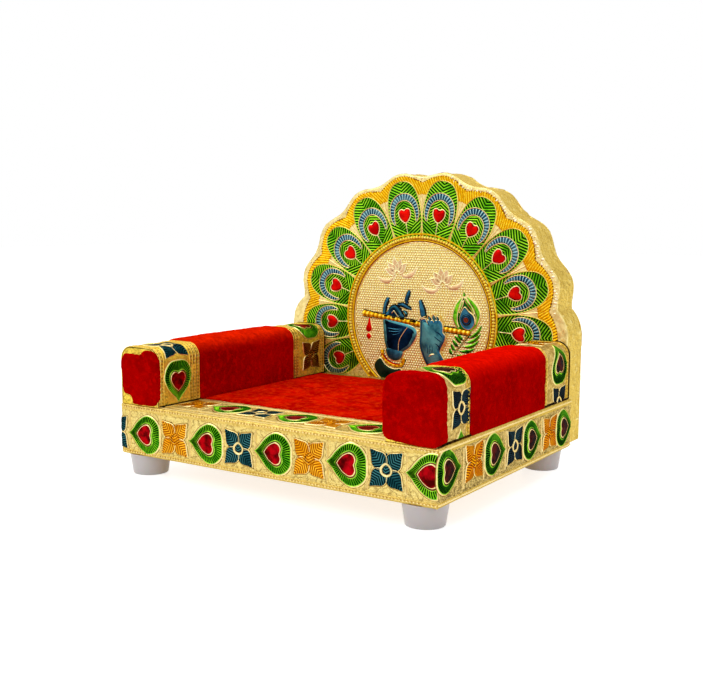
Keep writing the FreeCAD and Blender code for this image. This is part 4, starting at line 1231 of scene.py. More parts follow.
def dotTree():
    # a field of small domes in offset rows, inside a circle and above the seat
    tree, source, sink = newTree("dotField", {"Pitch": 0.0016, "Reach": 0.043, "Radius": 0.0006,
                                              "Rise": 0.0004,
                                              "Lowest": -0.034})
    node, link = tree.nodes.new, tree.links.new

    def maths(operation, one, two=None):
        made = node("ShaderNodeMath")
        made.operation = operation
        for socket, value in zip(made.inputs, (one, two)):
            if value is None:
                continue
            if isinstance(value, (int, float)):
                socket.default_value = value
            else:
                link(value, socket)
        return made.outputs[0]

    grid = node("GeometryNodeMeshGrid")
    grid.inputs["Vertices X"].default_value, grid.inputs["Vertices Y"].default_value = 60, 70
    pitch = source.outputs["Pitch"]
    link(maths("MULTIPLY", pitch, 59), grid.inputs["Size X"])
    link(maths("MULTIPLY", maths("MULTIPLY", pitch, 0.8660254), 69), grid.inputs["Size Y"])
    where, split = node("GeometryNodeInputPosition"), node("ShaderNodeSeparateXYZ")
    link(where.outputs[0], split.inputs[0])
    rowNumber = maths("ROUND", maths("DIVIDE", split.outputs["Y"], maths("MULTIPLY", pitch, 0.8660254)), 0)
    odd = maths("PINGPONG", rowNumber, 1)
    shift, offset = maths("MULTIPLY", odd, maths("MULTIPLY", pitch, 0.5)), node("ShaderNodeCombineXYZ")
    link(shift, offset.inputs["X"])
    setPlace = node("GeometryNodeSetPosition")
    link(grid.outputs["Mesh"], setPlace.inputs["Geometry"])
    link(offset.outputs[0], setPlace.inputs["Offset"])
    again, parts = node("GeometryNodeInputPosition"), node("ShaderNodeSeparateXYZ")
    link(again.outputs[0], parts.inputs[0])
    reach = maths("SQRT", maths("ADD", maths("MULTIPLY", parts.outputs["X"], parts.outputs["X"]),
                                maths("MULTIPLY", parts.outputs["Y"], parts.outputs["Y"])))
    outside = maths("GREATER_THAN", reach, source.outputs["Reach"])
    below = maths("LESS_THAN", parts.outputs["Y"], source.outputs["Lowest"])
    drop = node("GeometryNodeDeleteGeometry")
    link(setPlace.outputs[0], drop.inputs[0])
    link(maths("MAXIMUM", outside, below), drop.inputs["Selection"])
    cone = node("GeometryNodeMeshUVSphere")
    cone.inputs["Segments"].default_value, cone.inputs["Rings"].default_value = 8, 4
    size = node("ShaderNodeCombineXYZ")
    link(source.outputs["Radius"], size.inputs["X"])
    link(source.outputs["Radius"], size.inputs["Y"])
    link(source.outputs["Rise"], size.inputs["Z"])
    place, real, paint = node("GeometryNodeInstanceOnPoints"), node("GeometryNodeRealizeInstances"), \
        node("GeometryNodeSetMaterial")
    link(drop.outputs[0], place.inputs["Points"])
    link(cone.outputs[0], place.inputs["Instance"])
    link(size.outputs[0], place.inputs["Scale"])
    link(place.outputs[0], real.inputs[0])
    link(real.outputs[0], paint.inputs[0])
    link(paint.outputs[0], sink.inputs[0])
    return tree, paint


def dotField():
    sizes = {"Pitch": ring["dotPitch"], "Reach": ring["discRadius"] - 1.0, "Radius": ring["dotRadius"],
             "Rise": ring["dotRise"], "Lowest": throne["seatLevel"] + 0.6 - fan["centre"]}
    made = grown("medallionDots", bpy.data.meshes.new("dotHolder"), dotTree, "dots",
                 {label: value * mm for label, value in sizes.items()})
    made.transform(Matrix.Translation((0, throne["rear"] * mm, fan["centre"] * mm))
                   @ Matrix.Rotation(math.pi / 2, 4, "X"))
    return settle(made, "medallionDots", smooth=60.0)


dotField()
print("ring and dotted ground done")

# Raised picture of the medallion: two hands with a flute, a tassel and a feather


def domed(plan, points, middle, fill, rises, depths, rim="ridge", parts=6, border=None):
    outline = smoothLoop(points, parts) if parts else np.asarray(points, float)
    if np.sum(outline[:, 0] * np.roll(outline[:, 1], -1) - outline[:, 1] * np.roll(outline[:, 0], -1)) < 0:
        outline = outline[::-1]
    rings = insetRings(outline, middle, zip(depths, rises))
    plan.loft(rings, [rim, rim] + [border or fill] * 2 + [fill] * (len(rings) - 3))


handRises = (-0.1, 0.5, 0.65, 0.85, 1.05, 1.2, 1.3)
handDepths = (-0.3, 0.0, 0.3, 0.8, 1.8, 3.4, 5.5)
picture = Plan()


def finger(points, halves, fill="teal", height=1.2):
    path = smoothPath(points, 6)
    sizes = swell(path, np.linspace(0, 1, len(halves)), halves)
    picture.limb(path, sizes + 0.34, height * 0.7, "ink", 7)
    picture.limb(path, sizes, height, fill, 9)


def strokes(plan, lines, half, fill, height, base):
    for points in lines:
        path = smoothPath(points, 6)
        plan.limb(path, half * (0.35 + 0.65 * np.sin(np.linspace(0.15, 0.85, len(path)) * math.pi)), height,
                  fill, 5,
                  base=base)


# tassel
domed(picture, [(-32.6, 0.2), (-34.0, -3.4), (-35.3, -7.0), (-33.5, -8.9), (-31.1, -7.2), (-31.6, -3.4)],
      (-33.2, -6.0), "heartRed", (-0.1, 0.4, 0.55, 0.6, 0.9), (-0.3, 0.0, 0.2, 0.4, 0.9))
domed(picture, [(-33.2, -9.2), (-35.0, -11.0), (-33.3, -13.1), (-31.3, -11.0)], (-33.2, -11.0), "heartRed",
      (-0.1, 0.4, 0.55, 0.6, 0.9), (-0.3, 0.0, 0.2, 0.4, 0.8))
# left hand, its palm under the flute
domed(picture, [(-23.4, 0.6), (-18.4, -0.4), (-12.6, -1.6), (-7.4, -2.6), (-2.6, -4.4), (-1.0, -7.2),
                (-2.1, -11.0),
                (-5.1, -15.4), (-8.5, -17.9), (-12.4, -20.1), (-16.9, -20.0), (-20.4, -18.4), (-22.3, -14.7),
                (-23.2, -8.6)], (-12.5, -10.5), "navy", handRises, handDepths, border="teal")
domed(picture, [(-21.4, -17.2), (-20.6, -21.6), (-17.7, -23.9), (-13.7, -24.0), (-10.9, -22.2),
                (-10.2, -18.2),
                (-15.8, -15.6)], (-15.8, -20.2), "steel", (-0.1, 0.5, 0.7, 0.9, 1.1),
      (-0.3, 0.0, 0.3, 0.7, 1.5),
      border="teal")
domed(picture, [(-21.8, 1.0), (-20.2, 4.4), (-18.0, 6.9), (-15.4, 7.7), (-12.4, 6.4), (-10.4, 3.2),
                (-10.2, 0.4)],
      (-16.0, 3.0), "navy", (-0.1, 0.5, 0.7, 0.9, 1.1), (-0.3, 0.0, 0.3, 0.9, 1.8), border="steel", rim="ink")
strokes(picture, ([(-19.8, -5.6), (-15.0, -6.0), (-10.4, -5.8)],
                  [(-19.2, -7.4), (-14.6, -7.4), (-10.6, -6.6)],
                  [(-17.4, -9.2), (-13.8, -8.8), (-11.2, -7.4)]), 0.3, "steel", 0.3, 1.1)
strokes(picture, ([(-7.0, -4.4), (-10.4, -8.9), (-12.5, -12.9), (-12.9, -18.2)],), 0.3, "ridge", 0.4, 1.05)
strokes(picture, ([(-4.6, -6.0), (-3.4, -9.4), (-5.6, -13.4)],
                  [(-21.4, -3.0), (-21.6, -8.0), (-20.2, -13.6)]),
        0.9, "teal", 0.2, 0.95)
# its fingers: two raised, the others bent over the flute
finger([(-23.0, 2.4), (-22.2, 6.8), (-21.0, 9.8), (-20.2, 11.7)], (1.0, 1.15, 1.15, 0.7), "steel")
finger([(-8.0, 8.6), (-8.2, 10.8), (-7.4, 13.4), (-6.3, 16.2)], (0.8, 1.2, 1.2, 0.7), "steel")
finger([(-18.9, 2.2), (-18.2, 5.2), (-15.6, 6.3), (-13.4, 4.6), (-11.0, 0.9)], (1.0, 1.45, 1.6, 1.6, 0.9),
       height=1.5)
finger([(-14.0, 7.9), (-10.8, 7.9), (-8.0, 6.9), (-4.9, 5.6)], (0.4, 1.35, 1.2, 0.35), "steel", 1.7)
finger([(-10.2, 4.7), (-8.4, 3.2), (-8.8, 1.2)], (0.4, 0.8, 0.4), "teal", 1.3)
strokes(picture, ([(-17.2, 3.0), (-15.9, 4.3), (-14.6, 3.0), (-12.9, 1.0)],), 0.3, "ridge", 0.4, 1.35)
strokes(picture, ([(-19.4, 3.0), (-18.4, 6.2), (-15.4, 7.6), (-12.4, 5.6), (-10.6, 2.6)],
                  [(-14.0, 9.0), (-9.8, 8.8), (-5.4, 6.9)]), 0.3, "ink", 0.3, 0.9)
# bracelet and sleeve
domed(picture, [(-29.4, -28.0), (-25.4, -23.0), (-21.4, -26.8), (-16.3, -28.6), (-11.4, -28.4),
                (-11.2, -33.6),
                (-18.0, -35.2), (-25.0, -34.6)], (-20.0, -31.2), "sleeve", (-0.1, 0.4, 0.6, 0.7, 0.8),
      (-0.3, 0.0, 0.3, 0.8, 1.8))
band = smoothPath([(-24.3, -18.4), (-23.2, -22.4), (-19.6, -25.6), (-14.8, -26.9), (-11.0, -26.0),
                   (-9.6, -22.4)],
                  10)
picture.limb(band, 1.45, 0.7, "ink", 7)
picture.limb(band, 1.15, 1.25, "lacquer", 7)
picture.limb(band[3:-3], 0.5, 0.4, "fluteGold", 5, base=1.15)
picture.limb(band[6:-6] + (0.5, 0.75), 0.28, 0.35, "heartRed", 5, base=1.0)
# flute with its turned rings, dark where it lies in the palm
flute = smoothPath([(-36.8, 1.9), (-25.0, 0.75), (-14.2, -0.5), (0.8, -2.4), (17.0, -4.1), (32.0, -5.4)], 36)
beat = np.abs(np.sin(np.linspace(0, 18 * math.pi, len(flute))))
thick = np.where(flute[:, 0] < -31.5, 1.85, 1.5) + 0.12 * beat ** 6
picture.limb(flute, thick + 0.35, 1.35, "ink", 9)
picture.limb(flute, thick, 2.0, "fluteGold", 9)
held = flute[(flute[:, 0] > -23.5) & (flute[:, 0] < 1.2)]
for low, high in ((-22.6, -20.2), (-17.4, -15.0), (-12.0, -8.8), (-5.6, -1.4)):
    part = held[(held[:, 0] > low) & (held[:, 0] < high)] + (0.0, 0.9)
    picture.limb(part, 0.42, 0.3, "ink", 5, base=1.6)
# right hand, palm in front of the flute
palmRises = tuple(rise + 1.2 if rise > 0 else rise for rise in handRises)
domed(picture, [(1.6, 2.2), (5.8, 0.8), (9.6, 0.6), (13.4, 0.9), (15.3, -0.4), (16.0, -3.1), (16.1, -6.0),
                (17.6, -7.6),
                (17.1, -10.8), (15.3, -14.2), (14.5, -17.2), (16.9, -21.2), (13.0, -24.6), (7.9, -26.4),
                (4.8, -23.2),
                (1.8, -16.7), (1.0, -12.6), (1.3, -7.0), (1.3, -1.8)], (8.8, -10.5), "teal", palmRises,
      handDepths,
      border="steel")
finger([(2.9, 0.4), (2.8, 3.4), (1.8, 7.0), (0.6, 11.0)], (1.6, 1.75, 1.5, 0.85), "steel", 2.4)
for spot, lean in (((7.3, 1.8), -0.5), ((10.0, 2.6), -0.2), ((12.3, 2.2), 0.3)):
    finger([(spot[0] + 0.6, spot[1] - 3.0), spot, (spot[0] + lean, spot[1] + 1.0)], (0.9, 1.1, 0.5), "teal",
           2.7)
strokes(picture, ([(2.6, 0.6), (5.0, 1.2), (6.8, -1.8)], [(6.3, 1.8), (7.2, 3.2), (8.8, 2.0), (10.4, -0.4)],
                  [(9.4, 2.2), (10.0, 4.0), (11.2, 3.0), (12.2, 1.6)],
                  [(11.9, 3.0), (13.4, 2.6), (14.6, 0.4)]), 0.4,
        "ridge", 0.6, 2.2)
strokes(picture, ([(0.9, 1.0), (2.8, 1.4), (4.6, 2.4)],), 0.35, "ridge", 0.4, 2.2)
strokes(picture, ([(11.2, -5.6), (14.0, -6.6), (15.8, -8.6)], [(10.8, -8.4), (13.2, -9.9), (15.0, -11.2)],
                  [(11.4, -12.2), (13.2, -13.2), (14.4, -15.2)], [(3.4, -0.8), (6.0, -0.4), (7.6, -2.6)]),
        0.32, "navy",
        0.3, 2.35)
strokes(picture, ([(5.6, -12.6), (6.8, -15.4), (6.9, -18.0)], [(7.6, -12.8), (8.4, -15.5), (8.1, -18.2)],
                  [(9.6, -13.2), (9.8, -15.6), (9.2, -18.0)]), 0.26, "steel", 0.3, 2.4)
strokes(picture, ([(7.8, -19.6), (9.1, -18.5), (11.0, -18.2)],), 0.5, "ridge", 0.5, 2.3)
hands = Plan()
hands.take(picture, middle)
hands.build("hands", onBoard, "enamelled_foil", cuts=aboveSeat)

plume = Plan()
domed(plume, [(27.6, 17.4), (29.9, 14.8), (33.6, 12.4), (36.4, 9.3), (37.9, 5.5), (37.4, 1.9), (35.6, -1.5),
              (32.3, -4.6),
              (28.3, -5.2), (24.2, -3.4), (22.1, -0.5), (21.0, 2.6), (21.5, 6.9), (23.9, 11.4), (26.7, 14.8)],
      (29.4, 3.4),
      "leafDark", (-0.1, 0.5, 0.65, 0.55, 0.5, 0.5), (-0.35, 0.0, 0.3, 0.5, 1.0, 3.0), border="leafLight")
# light blades along both sides, each between two pressed lines
for points, half in (([(27.3, 14.6), (24.2, 9.6), (22.7, 4.4), (23.0, 0.4), (24.6, -2.6)], 1.45),
                     ([(28.8, 15.0), (32.6, 11.2), (35.6, 7.2), (36.5, 3.4), (35.6, -0.6)], 1.5),
                     ([(28.0, 14.4), (29.6, 11.6), (32.4, 8.4), (34.2, 5.0)], 0.75),
                     ([(27.6, 12.4), (26.2, 8.6), (25.0, 5.4)], 0.55)):
    path = smoothPath(points, 8)
    sizes = half * swell(path, (0, 0.25, 0.6, 1), (0.2, 0.85, 1.0, 0.4))
    plume.limb(path, sizes + 0.35, 0.4, "ridge", 7, base=0.45)
    plume.limb(path, sizes, 0.55, "leafLight", 7, base=0.45)
eyeAt = (30.0, 2.0)
domed(plume, [(28.6, 8.9), (31.4, 6.4), (34.0, 4.4), (34.9, 1.4), (33.9, -1.8), (31.4, -3.6), (28.0, -2.8),
              (26.0, -0.3),
              (25.5, 3.0), (26.6, 6.4)], eyeAt, "steel", (0.3, 0.95, 1.1, 0.95, 1.05),
      (-0.3, 0.0, 0.3, 0.6, 1.4))
for radius, height, fill in ((3.2, 1.3, "ink"), (2.5, 1.45, "navy"), (1.7, 1.7, "brown")):
    turn = np.linspace(0, math.tau, 33)[:-1]
    loop = np.column_stack([np.cos(turn), np.sin(turn)]) * radius + (eyeAt[0] - 0.2, eyeAt[1] - 0.1)
    domed(plume, loop, (eyeAt[0] - 0.2, eyeAt[1] - 0.1), fill,
          (0.5, height - 0.1, height, height - 0.1, height),
          (-0.2, 0.0, 0.2, 0.4, radius * 0.7), parts=0, rim="steel")
stem = smoothPath([(31.0, -6.4), (29.4, -8.4), (26.8, -11.9), (24.0, -15.0), (20.6, -19.4)], 6)
barbs = ([(29.8, -8.0), (33.2, -7.2), (36.6, -4.4), (39.2, 0.4)],
         [(28.0, -10.6), (31.6, -10.4), (35.4, -8.4), (38.8, -4.4)],
         [(26.2, -12.8), (30.4, -13.0), (34.4, -11.6), (38.0, -8.2)],
         [(24.2, -15.2), (28.0, -15.8), (32.0, -15.0), (35.4, -13.2)],
         [(22.4, -17.4), (26.0, -18.4), (30.0, -18.4), (33.0, -17.6)],
         [(28.4, -9.6), (26.2, -8.4), (24.0, -6.0)],
         [(27.0, -11.6), (24.6, -9.6), (22.0, -7.0)], [(25.4, -13.6), (23.0, -12.0), (20.9, -9.2)],
         [(23.4, -16.0), (21.6, -14.4), (20.2, -11.8)], [(21.8, -18.0), (20.2, -16.6), (19.2, -14.2)])
for points in barbs:
    path = smoothPath(points, 7)
    sizes = swell(path, (0, 0.45, 0.8, 1), (0.3, 1.25, 1.0, 0.15))
    plume.limb(path, sizes + 0.3, 0.4, "ridge", 7)
    plume.limb(path, sizes, 0.6, "leafLight" if points[1][0] > 30 else "green", 7)
    plume.limb(path[2:-2], sizes[2:-2] * 0.3, 0.2, "leafDark", 5, base=0.5)
plume.limb(stem, np.linspace(0.75, 0.5, len(stem)), 0.6, "leafDark", 5)
plume.limb(stem, np.linspace(0.4, 0.25, len(stem)), 0.95, "ridge", 5)
plumePlan = Plan()
plumePlan.take(plume, middle)
plumePlan.build("plume", onBoard, "enamelled_foil", cuts=aboveSeat)


def sprig(plan, spot, turn):
    # a plain lotus bud between two leaves
    made = Plan()
    for lean, long in ((-58, 9.0), (-30, 9.6), (0, 10.4), (30, 9.6), (58, 9.0)):
        petal = Plan()
        shape = petalOutline(long, 2.3)
        rings = insetRings(shape, (0, long * 0.5), ((-0.3, -0.1), (-0.1, 0.5), (0.2, 0.62), (0.5, 0.45),
                                                    (1.2, 0.55)))
        petal.loft(rings, ["dots", "dots", "dots", "peach", "peach"])
        made.take(petal, turn=lean)
    for side in (-1, 1):
        path = smoothPath([(side * 1.0, 0.0), (side * 5.6, -2.6), (side * 10.6, -1.4), (side * 13.4, 1.8)], 6)
        sizes = swell(path, (0, 0.5, 1), (0.4, 1.5, 0.2))
        made.limb(path, sizes + 0.3, 0.5, "dots", 7)
        made.limb(path, sizes, 0.68, "peach", 7)
    plan.take(made, spot, turn)


sprigs = Plan()
sprig(sprigs, (-14.5, fan["centre"] + 25.0), 14)
sprig(sprigs, (14.5, fan["centre"] + 20.0), 10)
sprigs.build("sprigs", onBoard, "enamelled_foil")
print("medallion picture done")

# Edge and rear of the back board

boardLook = {
    "thickness": 20.0,
    "foil": 0.6,
    "edgeRows": 30,
}

edgePlan = Plan()
loop = boardLoop(0.0, 0.8)
depths = np.linspace(0.1, boardLook["thickness"] - 0.05, boardLook["edgeRows"])
outward = loop - insetRing(loop, middle, 0.5)
outward /= np.linalg.norm(outward, axis=1)[:, None]
run = np.concatenate([[0], np.cumsum(np.linalg.norm(np.diff(loop, axis=0), axis=1))])
rings = []
for index, depth in enumerate(depths):
    share = depth / boardLook["thickness"]
    rough = 0.08 + 0.34 * np.clip(np.abs(share - 0.45) * 2.2, 0, 1) ** 1.5
    push = rough * (softNoise(run, np.full(len(run), depth), 2.4, 51)
                    + 0.6 * softNoise(run, np.full(len(run), depth * 3), 5.0, 52))
    lowered = -0.25 * (1 if index in (0, len(depths) - 1) else 0)
    spots = loop + outward * (push + lowered - 0.12)[:, None]
    rings.append(withHeight(spots, -depth))
# the rings outside and two inside close into a sleeve round the board
lining = insetRing(loop, middle, boardLook["foil"])
starts = [edgePlan.add(item) for item in rings + [withHeight(lining, -depths[-1]),
                                                  withHeight(lining, -depths[0])]]
here = np.arange(len(loop))
after = (here + 1) % len(loop)
for one, two in zip(starts, starts[1:] + starts[:1]):
    edgePlan.put(np.column_stack([one + after, one + here, two + here, two + after]), "edge")
edgePlan.build("edgeFoil", onBoard, "plain_foil", ["back_foil_edge"],
               cuts=[((0, 0, throne["floorToBase"] + 0.4), (0, 0, -1))])

coverPlan = Plan()
rings = insetRings(loop, middle, ((0.3, 0.0), (0.1, 0.35), (0.5, 0.58), (2.2, 0.5), (2.6, 0.36), (3.4, 0.34)))
for share in np.linspace(0.12, 0.97, 16):
    ring2 = rings[5][:, :2] * (1 - share) + np.array(middle) * share
    rings.append(withHeight(ring2, 0.34 + 0.1 * softNoise(ring2[:, 0], ring2[:, 1], 11.0, 61)
                            + 0.04 * softNoise(ring2[:, 0], ring2[:, 1], 3.0, 62)))
coverPlan.loft(rings, ["edge"] * 4 + ["hem"] * 18)


def onRear(points):
    rear = throne["rear"] + boardLook["thickness"] - boardLook["foil"]
    return np.column_stack([points[:, 0], rear + points[:, 2], points[:, 1]])


coverPlan.build("rearCover", onRear, "plain_foil", ["back_cover"])
print("back board done")

# Arms: foil over both ends, with motifs that run over the top


def ropeLine(plan, level, low, high, half, pitch, finish, base):
    # a row of joined beads across a band
    count = int((high - low) / pitch * 6)
    path = np.column_stack([np.linspace(high, low, count), np.full(count, level)])
    beat = 0.5 - 0.5 * np.cos(np.arange(count) / 6 * math.tau)
    plan.limb(path, half * (0.4 + 0.6 * beat), 0.4, finish, 5, base=base)


def bandPlan(whole, low, high, wavy, seed, finish):
    # foil folded over one end of an arm, with its free edge cut by hand
    plan = Plan()
    s, t = np.meshgrid(np.linspace(0, whole, 130), np.linspace(0, 1, 34))
    edgeWave = 0.45 * np.sin(s / 2.3 + seed) + softNoise(s, s * 0, 3.1, seed) * 0.5
    t = low + t * (high - low) + (edgeWave * (t if wavy == "high" else 1 - t))
    rise = arm["foil"] - 0.02 + softNoise(s, t, 2.6, seed + 1) * 0.07 + softNoise(s, t, 8.0, seed + 2) * 0.1
    lips = np.minimum(np.abs(t - low), np.abs(high - t))
    rise = np.where(lips < 0.5, rise * 0.8, rise)
    plan.shell(s, t, rise, finish)
    return plan


def bandBorder(plan, whole, levels):
    # channels painted dark as shade, with bright cords in them
    for level, half in levels:
        path = np.column_stack([np.linspace(whole - 0.3, 0.3, 90), np.full(90, level)])
        plan.limb(path, half + 0.55, 0.14, "channel", 5, base=arm["foil"] - 0.05)
        ropeLine(plan, level, 0.3, whole - 0.3, half * 1.3, 1.7, "cord", arm["foil"] + 0.02)
        for side in (-1, 1):
            plan.limb(path + (0, side * (half + 0.75)), 0.22, 0.3, "cord", 5, base=arm["foil"] - 0.05)


armMotifs = {
    # distance round the arm from the middle of its top, distance back, motif, turn
    "frontRight": ((3.8, 20.5, "leaf", 0), (23.7, 21.8, "blue", 0),
                   (43.6, 21.8, "leaf", 0), (-16.1, 20.5, "orange", 0)),
    "frontLeft": ((-25.3, 14.4, "leaf", 0), (-5.4, 14.0, "blue", 90),
                  (14.5, 14.4, "leaf", 0), (34.4, 14.4, "orange", 0)),
    "rearRight": ((17.7, 18.2, "leaf", 0), (37.0, 18.2, "blue", 0),
                  (-2.2, 18.2, "orange", 90), (-22.1, 18.2, "leaf", 0)),
    "rearLeft": ((-4.9, 17.0, "leaf", 180), (-24.8, 17.0, "rust", 90),
                 (15.0, 17.0, "blue", 90), (34.9, 17.0, "leaf", 180)),
}
armBorders = {
    "frontRight": ((28.2, 0.45),),
    "frontLeft": ((1.2, 0.45), (3.2, 0.4), (24.0, 0.35), (26.2, 0.45), (28.5, 0.45)),
    "rearRight": ((1.6, 0.4), (28.3, 0.4)),
    "rearLeft": ((1.6, 0.4), (3.8, 0.45), (26.4, 0.4), (28.5, 0.4)),
}

for side, name in ((-1, "left"), (1, "right")):
    foilHalf, foilHigh, foilBend = (arm[key] - arm["foil"] for key in ("half", "height", "bend"))
    rearStart = arm["rear"] - arm["band"]
    for end, startY, wavy, seed in (("front", throne["front"], "high", 71), ("rear", rearStart, "low", 81)):
        place = overArm(side, startY, foilHalf, foilHigh, foilBend)
        whole = place.length
        # the left bands take the brighter arm foil, painted light
        plan = bandPlan(whole, 0.0, arm["band"], wavy, seed + side, "armFoil" + name.capitalize())
        title = end + name.capitalize()
        bandBorder(plan, whole, armBorders[title])
        for around, back, kind, turn in armMotifs[title]:
            motif = {"leaf": leaf, "blue": blueFlower}.get(kind, orangeFlower)
            # the right arm's motifs take the darker copies, painted shade
            changed = dict(shadeSwap) if side > 0 else {}
            if kind == "rust":
                changed = {"petalOrange": "petalRust"}
            plan.take(motif, (whole / 2 + around, back), turn, arm["foil"] - 0.15, swap=changed)
        plan.build("armFoil" + title[0].upper() + title[1:], place, "enamelled_foil",
                   ["arm_foil_%s_%s" % (end, name)],
                   cuts=[((0, 0, throne["baseTop"]), (0, 0, -1)), ((0, startY + 0.02, 0), (0, -1, 0))])

    # velvet round the middle, padded with thin foam
    velvetStart = throne["front"] + arm["band"] + 0.2
    velvetLong = rearStart - 0.2 - velvetStart
    wrap = overArm(side, velvetStart, foilHalf, foilHigh, foilBend)
    pad = Plan()
    rows = np.unique(np.concatenate([np.linspace(0, 1, 150), [0.002, 0.006, 0.012, 0.02, 0.98, 0.988, 0.994,
                                                              0.998]]))
    s, t = np.meshgrid(np.linspace(0, whole, 150), rows * velvetLong)
    fromEnd = np.minimum(t, velvetLong - t)
    lip = np.sqrt(np.clip(1 - (1 - np.clip(fromEnd / 1.5, 0, 1)) ** 2, 0, 1))
    puff = 1.35 + 0.35 * np.sin(np.clip(t / velvetLong, 0, 1) * math.pi) ** 0.5
    pile = 0.10 * softNoise(s, t, 6.0, 91) + 0.06 * softNoise(s, t, 1.9, 92) + 0.045 * softNoise(s, t, 0.8,
                                                                                                 93)
    ragged = 0.25 * softNoise(s, t * 0 + side * 5, 1.6, 94)
    t = t + ragged * np.where(t < velvetLong / 2, -1, 1) * (1 - np.clip(fromEnd / 3, 0, 1))
    pad.shell(s, t, 0.15 + (puff + pile) * lip, "armVelvet" + name.capitalize())
    wrapPiece = pad.build("armVelvet" + name.capitalize(), wrap, "arm_velvet", ["arm_velvet_" + name],
                          smooth=80.0)

    # dark strips painted as the shadow in the gaps under the arm and behind it
    glue = Plan()
    for across in (-arm["half"] - 0.05, arm["half"] + 0.05):
        path = np.column_stack([np.full(40, side * (arm["centre"] + across)), np.linspace(1.5, 138.5, 40)])
        glue.limb(path, 1.0 if side < 0 else 0.6, 0.7, "glue", 7, base=0.05)
    glue.build("armGlue" + name.capitalize(), onTop, "enamelled_foil")
    # painted shadow in the gap between the rear of the arm and the back board
    rearShadow = Plan()
    corner = np.linspace(0, math.pi / 2, 10)
    tight = arm["half"] + 0.05
    arc = np.column_stack([tight - arm["bend"] + arm["bend"] * np.cos(corner),
                           throne["baseTop"] + arm["height"] + 0.05 - arm["bend"] * (1 - np.sin(corner))])
    path = np.vstack([[(tight, throne["baseTop"])], arc, arc[::-1] * (-1, 1), [(-tight, throne["baseTop"])]])
    path = path + (side * arm["centre"], 0)
    rearShadow.limb(path, 0.45, 0.9, "glue", 7)
    rearShadow.build("armSeam" + name.capitalize(), onBoard, "enamelled_foil")
print("arms done")

# Velvet patches on the arm fronts, with cut edges


def archOutline(step=0.6):
    corner = np.linspace(0, math.pi / 2, 12)
    bend = arm["bend"]
    right = np.column_stack([arm["half"] - bend + bend * np.cos(corner),
                             arm["height"] - bend + bend * np.sin(corner)])
    return dense(np.vstack([right, right[::-1] * (-1, 1), [(-arm["half"], 0.0), (arm["half"], 0.0)]]), step)


def onArmEnd(side):
    # u outwards from the middle of the arm, v up from the base, height towards the front
    def place(points):
        return np.column_stack([side * (arm["centre"] + points[:, 0]), throne["front"] - points[:, 2],
                                throne["baseTop"] + points[:, 1]])

    return place


patchLook = {
    # corners of each patch, and how far it is wrapped back round the edges of the arm
    "right": {"outline": ((12.0, 0.2), (12.0, 11.0), (12.0, 22.3), (10.1, 26.9), (5.5, 28.8), (0.0, 28.8),
                          (-5.5, 28.8),
                          (-10.1, 26.9), (-12.0, 22.3), (-12.0, 10.0), (-11.8, 3.4), (-8.0, 1.7), (-4.0, 1.0),
                          (3.5, 0.3)),
              "wrap": ((-12.0, 0.4), (-6.0, 7.0), (2.0, 9.0), (12.0, 9.2)), "soft": 1.0},
    "left": {"outline": ((9.5, 6.0), (10.4, 9.0), (10.9, 15.0), (11.5, 20.8), (9.8, 24.2), (7.5, 24.8),
                         (2.0, 24.6),
                         (-1.0, 24.9), (-3.4, 26.6), (-6.0, 27.2), (-9.4, 26.6), (-11.6, 24.2), (-12.4, 20.0),
                         (-12.4, 12.0), (-12.2, 5.0), (-10.8, 2.0), (-8.5, 0.9), (-2.0, 0.7), (3.2, 0.9),
                         (4.2, 3.0),
                         (5.8, 5.2)),
             "wrap": ((-12.4, 1.4), (-10.0, 0.3), (12.0, 0.1)), "soft": 0.7},
}

